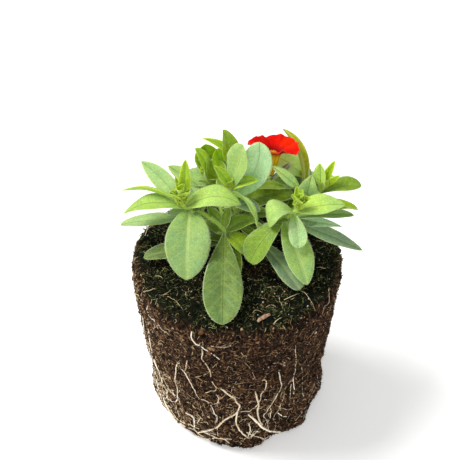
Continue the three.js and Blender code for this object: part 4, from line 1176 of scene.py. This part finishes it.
def leafSkin():
    material, tree, shader = newMaterial("leafSkin", 0.52, 0.18)
    for label, value in leafShine.items():
        shader.inputs[label].default_value = value
    age, olive, off = mask(tree, "age"), mask(tree, "olive"), mask(tree, "off")
    ripe = sums(tree, "SUBTRACT", 1.0, olive)
    green = ramp(tree, age, [
        (0.0, "#aed00c"), (0.25, "#aaca4c"), (0.5, "#8aac4c"), (0.75, "#6b8840"), (1.0, "#486320")])
    green = tinted(tree, times(tree, mask(tree, "blue"), 0.8), green, "#93ad90")
    oliveTint = ramp(tree, olive, [(0.0, "#80a000"), (0.9, "#80a000"), (1.0, "#a09e14")])
    green = blended(tree, olive, green, oliveTint)
    cooler = times(tree, ranged(tree, mottled(tree, 8, 0.5), 0.85, 1.25, 0.0, 0.34), ripe)
    green = tinted(tree, cooler, green, "#78a472")
    # each leaf's brightness, which on some looks is painted light or painted shade
    green = brightened(tree, green, mask(tree, "tone"))
    yellower = ranged(tree, mottled(tree, 3.2, 0.5), 0.85, 1.25, 0.0, 0.1)
    green = tinted(tree, yellower, green, "#a9c83e")
    green = brightened(tree, green, mottled(tree, 1.6, 0.1, 3))
    green = brightened(tree, green, mottled(tree, 0.45, 0.3))
    outward = times(tree, sums(tree, "ABSOLUTE", mask(tree, "across")), 9.0)
    slant = sums(tree, "SUBTRACT", times(tree, mask(tree, "along"), 46.0), outward)
    vein = ranged(tree, sums(tree, "SINE", slant), 0.7, 1.0, 0.0, 0.07)
    green = tinted(tree, vein, green, "#cbdc9c")
    palerUnder = times(tree, times(tree, mask(tree, "under"), 0.4), ripe)
    green = tinted(tree, palerUnder, green, "#9dbb70")
    paleBand = times(tree, ranged(tree, off, 0.1, 1.1, 0.8, 0.0), mask(tree, "band"))
    green = tinted(tree, paleBand, green, "#cbdf8c")
    # painted shade: a dark line along the midrib crease
    crease = times(tree, ranged(tree, off, 0.08, 0.36, 0.8, 0.0), mask(tree, "crease"))
    green = tinted(tree, crease, green, "#3f5c22")
    # the pale margin is the hairy edge; on the cupped leaves it is broader, a painted highlight
    edge = blended(tree, ranged(tree, age, 0.05, 0.4), tint("#cfe650"), tint("#c9df98"))
    green = blended(tree, ranged(tree, mask(tree, "margin"), 0.12, 0.5, 0.72, 0.0), green, edge)
    dot = times(tree, ranged(tree, noise(tree, 900.0, 1.0), 0.66, 0.71), mask(tree, "speck"))
    green = tinted(tree, times(tree, dot, 0.8), green, "#5c5526")
    finishSkin(tree, shader, green, 0.5, 0.35, 0.12)
    return material


leafGreen = leafSkin()


def makeShoots():
    for number, (name, shoot) in enumerate(shoots.items()):
        random = np.random.default_rng(100 + number)
        bag = Bag(*leafMasks)
        path = stemPath(shoot["foot"], shoot["way"])
        layStem(bag, random, path)
        for height, *leaf in shoot["leaves"]:
            look = leaf[5]
            cup = 0.14 if look in ("hollow", "bright", "tall") else -0.1
            layLeaf(bag, random, onStem(path, height), *leaf, cup=cup)
        layTuft(bag, random, path[-1], *shoot["young"])
        layFillers(bag, random, path)
        makePiece(name + "_leaves", bag, leafGreen, "leaf", name)


makeShoots()

# The bloom

bloom = dict(
    throat=(16.8, 30.2, 127.2), leanBack=16, leanRight=7, tubeLength=12, throatRadius=3.6, limbRadius=12.2,
    cup=3.4, notch=2.2, wall=0.34, columns=190, rows=56, lobes=2.5, lobeTurn=1.6, filament=0.2, style=0.3,
    stalkFoot=(4.5, 14.5), stalkWay=(7, 18, 101), budTip=(25.3, 26.2, 124), budLength=14.5,
)
aside = (0.2, 1.0, 0.1)  # a way across every thread of the bloom


def bloomTurn():
    back, right = -math.radians(bloom["leanBack"]), math.radians(bloom["leanRight"])
    aboutX = [[1, 0, 0], [0, math.cos(back), -math.sin(back)], [0, math.sin(back), math.cos(back)]]
    aboutY = [[math.cos(right), 0, math.sin(right)], [0, 1, 0], [-math.sin(right), 0, math.cos(right)]]
    return np.array(aboutX) @ np.array(aboutY)


def inBloom(points):
    # from the bloom's own upright frame to its place on the plant
    points = np.asarray(points, float) - [0, 0, bloom["tubeLength"]]
    return points @ bloomTurn().T + bloom["throat"]


def petalPoints(share, angle):
    # the middle of the petal wall, how far it has opened, and two measures from 0 to 1 that are highest
    # on the middle line of a petal and between two petals
    length, throat, limb = bloom["tubeLength"], bloom["throatRadius"], bloom["limbRadius"]
    curve = centripetal([
        (1.3, 0.45), (1.9, 1.9), (2.4, 5), (2.9, 8.4), (throat, length - 0.8), (5.9, length + 1.2),
        (9.2, length + 2.5), (limb, length + bloom["cup"])], 30)
    at = np.linspace(0, 1, len(curve))
    out, level = np.interp(share, at, curve[:, 0]), np.interp(share, at, curve[:, 1])
    opened = np.clip((out - throat) / (limb - throat), 0, 1)
    turn = bloom["lobes"] * angle + bloom["lobeTurn"]
    lobe, offMiddle = np.abs(np.cos(turn)), np.abs(np.sin(turn))
    radius = out - bloom["notch"] * opened ** 3 * (1 - lobe) ** 1.4
    radius = radius + 0.07 * opened ** 4 * np.sin(13 * angle + 1) + 0.05 * opened ** 4 * np.sin(29 * angle)
    wave = opened ** 2 * (0.8 * (1 - lobe) - 0.5 + 0.5 * np.sin(angle + 2) + 0.35 * np.sin(2 * angle))
    pleat = 0.8 * opened * np.exp(-(lobe / 0.3) ** 2)
    midVein = -1.15 * opened * np.exp(-(offMiddle / 0.24) ** 2)
    frill = opened ** 5 * (0.2 * np.sin(10 * angle + 0.5) + 0.08 * np.sin(19 * angle + 2))
    return polar(radius, angle, level + wave + pleat + midVein + frill), opened, lobe, offMiddle


def petalSkin():
    material, tree, shader = newMaterial("petalVelvet", 0.7, 0.06)
    depth = mask(tree, "depth")
    # the limb runs from red to orange round the bloom; its paler left end is painted light on a lobe the
    # lamps leave in shade, and the orange right back lobe is partly a painted highlight
    warmAndLit = ramp(tree, mask(tree, "warmAndLit"), [
        (0.0, "#e42a20"), (0.25, "#cb0f0b"), (0.45, "#c90801"), (0.75, "#d40e00"), (1.0, "#ea2600")])
    warmAndLit = brightened(tree, warmAndLit, mottled(tree, 2.4, 0.14))
    warmAndLit = tinted(tree, times(tree, mask(tree, "vein"), 0.8), warmAndLit, "#940306")
    # painted shade: the dark red band at the mouth of the throat, between its yellow inside and the red limb
    throat = ramp(tree, depth, [
        (0.0, "#c8880a"), (0.36, "#dba713"), (0.44, "#c8780c"), (0.5, "#7a1205"), (0.62, "#a30a0a"),
        (0.72, "#c40d0c")])
    inside = blended(tree, ranged(tree, depth, 0.56, 0.8), throat, warmAndLit)
    outside = ramp(tree, mask(tree, "open"), [
        (0.0, "#f4c41c"), (0.06, "#cc7014"), (0.14, "#b02a14"), (0.5, "#d02c22"), (1.0, "#e2483c")])
    # painted shade on the outside of the tube, just under the overhanging limb
    outside = tinted(tree, ranged(tree, depth, 0.44, 0.6, 0.0, 0.7), outside, "#a8240c")
    outside = tinted(tree, times(tree, mask(tree, "stripe"), 0.65), outside, "#7a3a10")
    skin = blended(tree, mask(tree, "inner"), outside, inside)
    # painted highlight: pale pink along the petal rims
    skin = tinted(tree, times(tree, mask(tree, "rim"), 0.5), skin, "#f2685c")
    finishSkin(tree, shader, skin, 0.6, 0.3, 0.12)
    return material


def onBothWalls(grid):
    # values for the outer wall, then the inner wall from the rim back, then the two end points
    return np.append(np.concatenate([grid, grid[::-1]]).ravel(), [0, 0])


def makeCorolla():
    rows, columns = bloom["rows"], bloom["columns"]
    share = np.linspace(0.0, 1, rows)[:, None] ** 0.85 + np.zeros(columns)
    angle = 2 * np.pi * np.arange(columns) / columns + np.zeros((rows, 1))
    middle, opened, lobe, offMiddle = petalPoints(share, angle)
    around = np.roll(middle, -1, 1) - np.roll(middle, 1, 1)
    out = unit(np.cross(around, np.gradient(middle, axis=0)))
    thin = bloom["wall"] / 2 * (1 - 0.55 * opened)[..., None]
    walls = np.concatenate([middle + out * thin, (middle - out * thin)[::-1]])
    points = np.concatenate([walls.reshape(-1, 3), [[0, 0, 0.2], [0, 0, 0.7]]])
    veins = np.exp(-(offMiddle / 0.07) ** 2) + 0.5 * np.exp(-((offMiddle - 0.34) / 0.05) ** 2)
    veins = veins * (1 - 0.8 * smoothStep(0.3, 1, opened))
    veins = veins + 0.3 * np.exp(-(offMiddle / 0.2) ** 2) * (1 - opened)
    # painted light: highest on the right back lobe, a painted highlight, with a painted pale end on the left
    # front
    warmAndLit = 0.5 + 0.5 * np.cos(angle - 0.5) + 0.12 * np.sin(3 * angle)
    stripe = np.clip(np.exp(-((1 - lobe) / 0.03) ** 2) + np.exp(-(lobe / 0.12) ** 2), 0, 1)
    # the rim mask is a painted highlight along the petal edges
    masks = dict(
        open=opened, depth=share, warmAndLit=np.clip(warmAndLit, 0, 1), vein=np.clip(veins, 0, 1),
        stripe=stripe * (1 - smoothStep(0.15, 0.6, opened)), rim=smoothStep(0.93, 1, opened))
    masks = {name: onBothWalls(grid) for name, grid in masks.items()}
    inside = np.append(np.repeat([0, 1], rows * columns), [0, 1])
    bag = Bag(*masks, "inner")
    faces = ringFaces(2 * rows, columns), pointCaps(2 * rows, columns)
    bag.add(inBloom(points), *faces, inner=inside, **masks)
    makePiece("corolla_petals", bag, petalSkin(), "petal", "corolla")


def layEgg(bag, centre, axis, length, width, shade):
    # a small egg, long the way of its axis
    turn = np.linspace(0, np.pi, 9)
    path = centre + unit(axis) * (-np.cos(turn) * length / 2)[:, None]
    bag.addStrand(path, np.maximum(np.sin(turn) * width / 2, 0.02), (0.32, 0.23, 0.91), 12, shade=shade)


def makeStamens():
    bag = Bag("shade")
    for index in range(5):
        angle = 2 * math.pi * index / 5
        tall = 10.8 + 0.12 * index
        knots = [(0.45, 1.3), (0.6, 5), (0.9, 8.5), (1.15, tall - 0.3)]
        path = inBloom(centripetal([polar(out, angle, level) for out, level in knots], 5))
        bag.addStrand(path, bloom["filament"], aside, 7, shade=0.35)
        for half in (-1, 1):
            across = np.array([-math.sin(angle), math.cos(angle), 0]) * 0.34 * half
            axis = bloomTurn() @ (polar(0.35, angle, 1) + across * 0.3)
            layEgg(bag, inBloom(polar(1.2, angle, tall) + across), axis, 1.7, 0.85, 0.9 - 0.08 * index)
    style = inBloom(centripetal([(0, 0, 1.3), (0.1, 0, 6), (0, 0.1, 11.4)], 8))
    bag.addStrand(style, bloom["style"], aside, 8, shade=0.3)
    layEgg(bag, inBloom((0, 0.1, 11.2)), bloomTurn() @ np.array([0.1, 0, 1]), 1.0, 1.3, 0.35)
    pollen = strandMaterial("pollenYellow", [
        (0.0, "#a8b83a"), (0.3, "#cfae34"), (0.6, "#d99a14"), (1.0, "#cf6c10")], 0.6)
    makePiece("stamens_fine", bag, pollen, "stamen", "stamens")


def makeFlowerStalk():
    random = np.random.default_rng(300)
    bag = Bag(*leafMasks)
    path = stemPath(bloom["stalkFoot"], [bloom["stalkWay"], inBloom((0, 0, -5)), inBloom((0, 0, -0.65))])
    layStem(bag, random, path, 1.1, 1.0, 0.05)
    for index in range(5):
        tip = inBloom(polar(5.6, math.radians(72 * index + 20), 4))
        layLeaf(bag, random, inBloom((0, 0, -3)), tip, -1.6, 2.3, 0, "young", "dark", cup=0.1)
    makePiece("flower_stalk", bag, leafGreen, "leaf", "shoot_flower")


def makeBud():
    # a closed bud, its petals rolled round each other
    length, sides = bloom["budLength"], 20
    start = inBloom((0.4, -0.8, -3.2))
    profile = centripetal([(0.05, 0), (0.9, 1.4), (1.4, 4), (1.6, 8), (1.0, 12), (0.04, length)], 6)
    path = start + unit(np.array(bloom["budTip"]) - start) * profile[:, 1:]
    share = profile[:, 1] / length
    bag = Bag("twist", "along")
    bag.addStrand(path, np.maximum(profile[:, 0], 0.03), aside, sides, along=share)
    spin = np.tile(np.arange(sides) / sides, len(profile)) + 0.35 * np.repeat(share, sides)
    bag.masks["twist"] = [0.5 + 0.5 * np.sin(2 * np.pi * 5 * spin)]
    material, tree, shader = newMaterial("budSkin", 0.6)
    colour = ramp(tree, mask(tree, "along"), [
        (0.0, "#2c3c1e"), (0.5, "#3e4632"), (0.85, "#5c6048"), (1.0, "#e4e0cc")])
    colour = tinted(tree, times(tree, mask(tree, "twist"), 0.55), colour, "#b9bf9a")
    finishSkin(tree, shader, brightened(tree, colour, mottled(tree, 1.2, 0.12)), 0.5, 0.4, 0.12)
    makePiece("closed_bud", bag, material, "leaf")


makeCorolla()
makeStamens()
makeFlowerStalk()
makeBud()

# The down on leaves and stems

hairs = dict(thick=0.055, stops=[(0.0, "#c9dba6"), (1.0, "#eef4dc")])


def makeHairs():
    # each hair is a thin three-sided spike
    root, way, length = (np.concatenate(parts) for parts in zip(*hairSpots))
    side = unit(np.cross(way, [0.31, 0.52, 0.79]))
    other = np.cross(way, side)
    corners = [side, -0.5 * side + 0.87 * other, -0.5 * side - 0.87 * other]
    base = [root + hairs["thick"] * corner for corner in corners]
    points = np.stack([*base, root + way * length[:, None]], axis=1)
    faces = np.array([[0, 1, 3], [1, 2, 3], [2, 0, 3], [0, 2, 1]])
    bag = Bag("shade")
    bag.add(points, (), faces[None] + 4 * np.arange(len(points))[:, None, None], shade=0.5)
    makePiece("leaf_hairs", bag, strandMaterial("leafDown", hairs["stops"], 0.5), "leaf")


makeHairs()
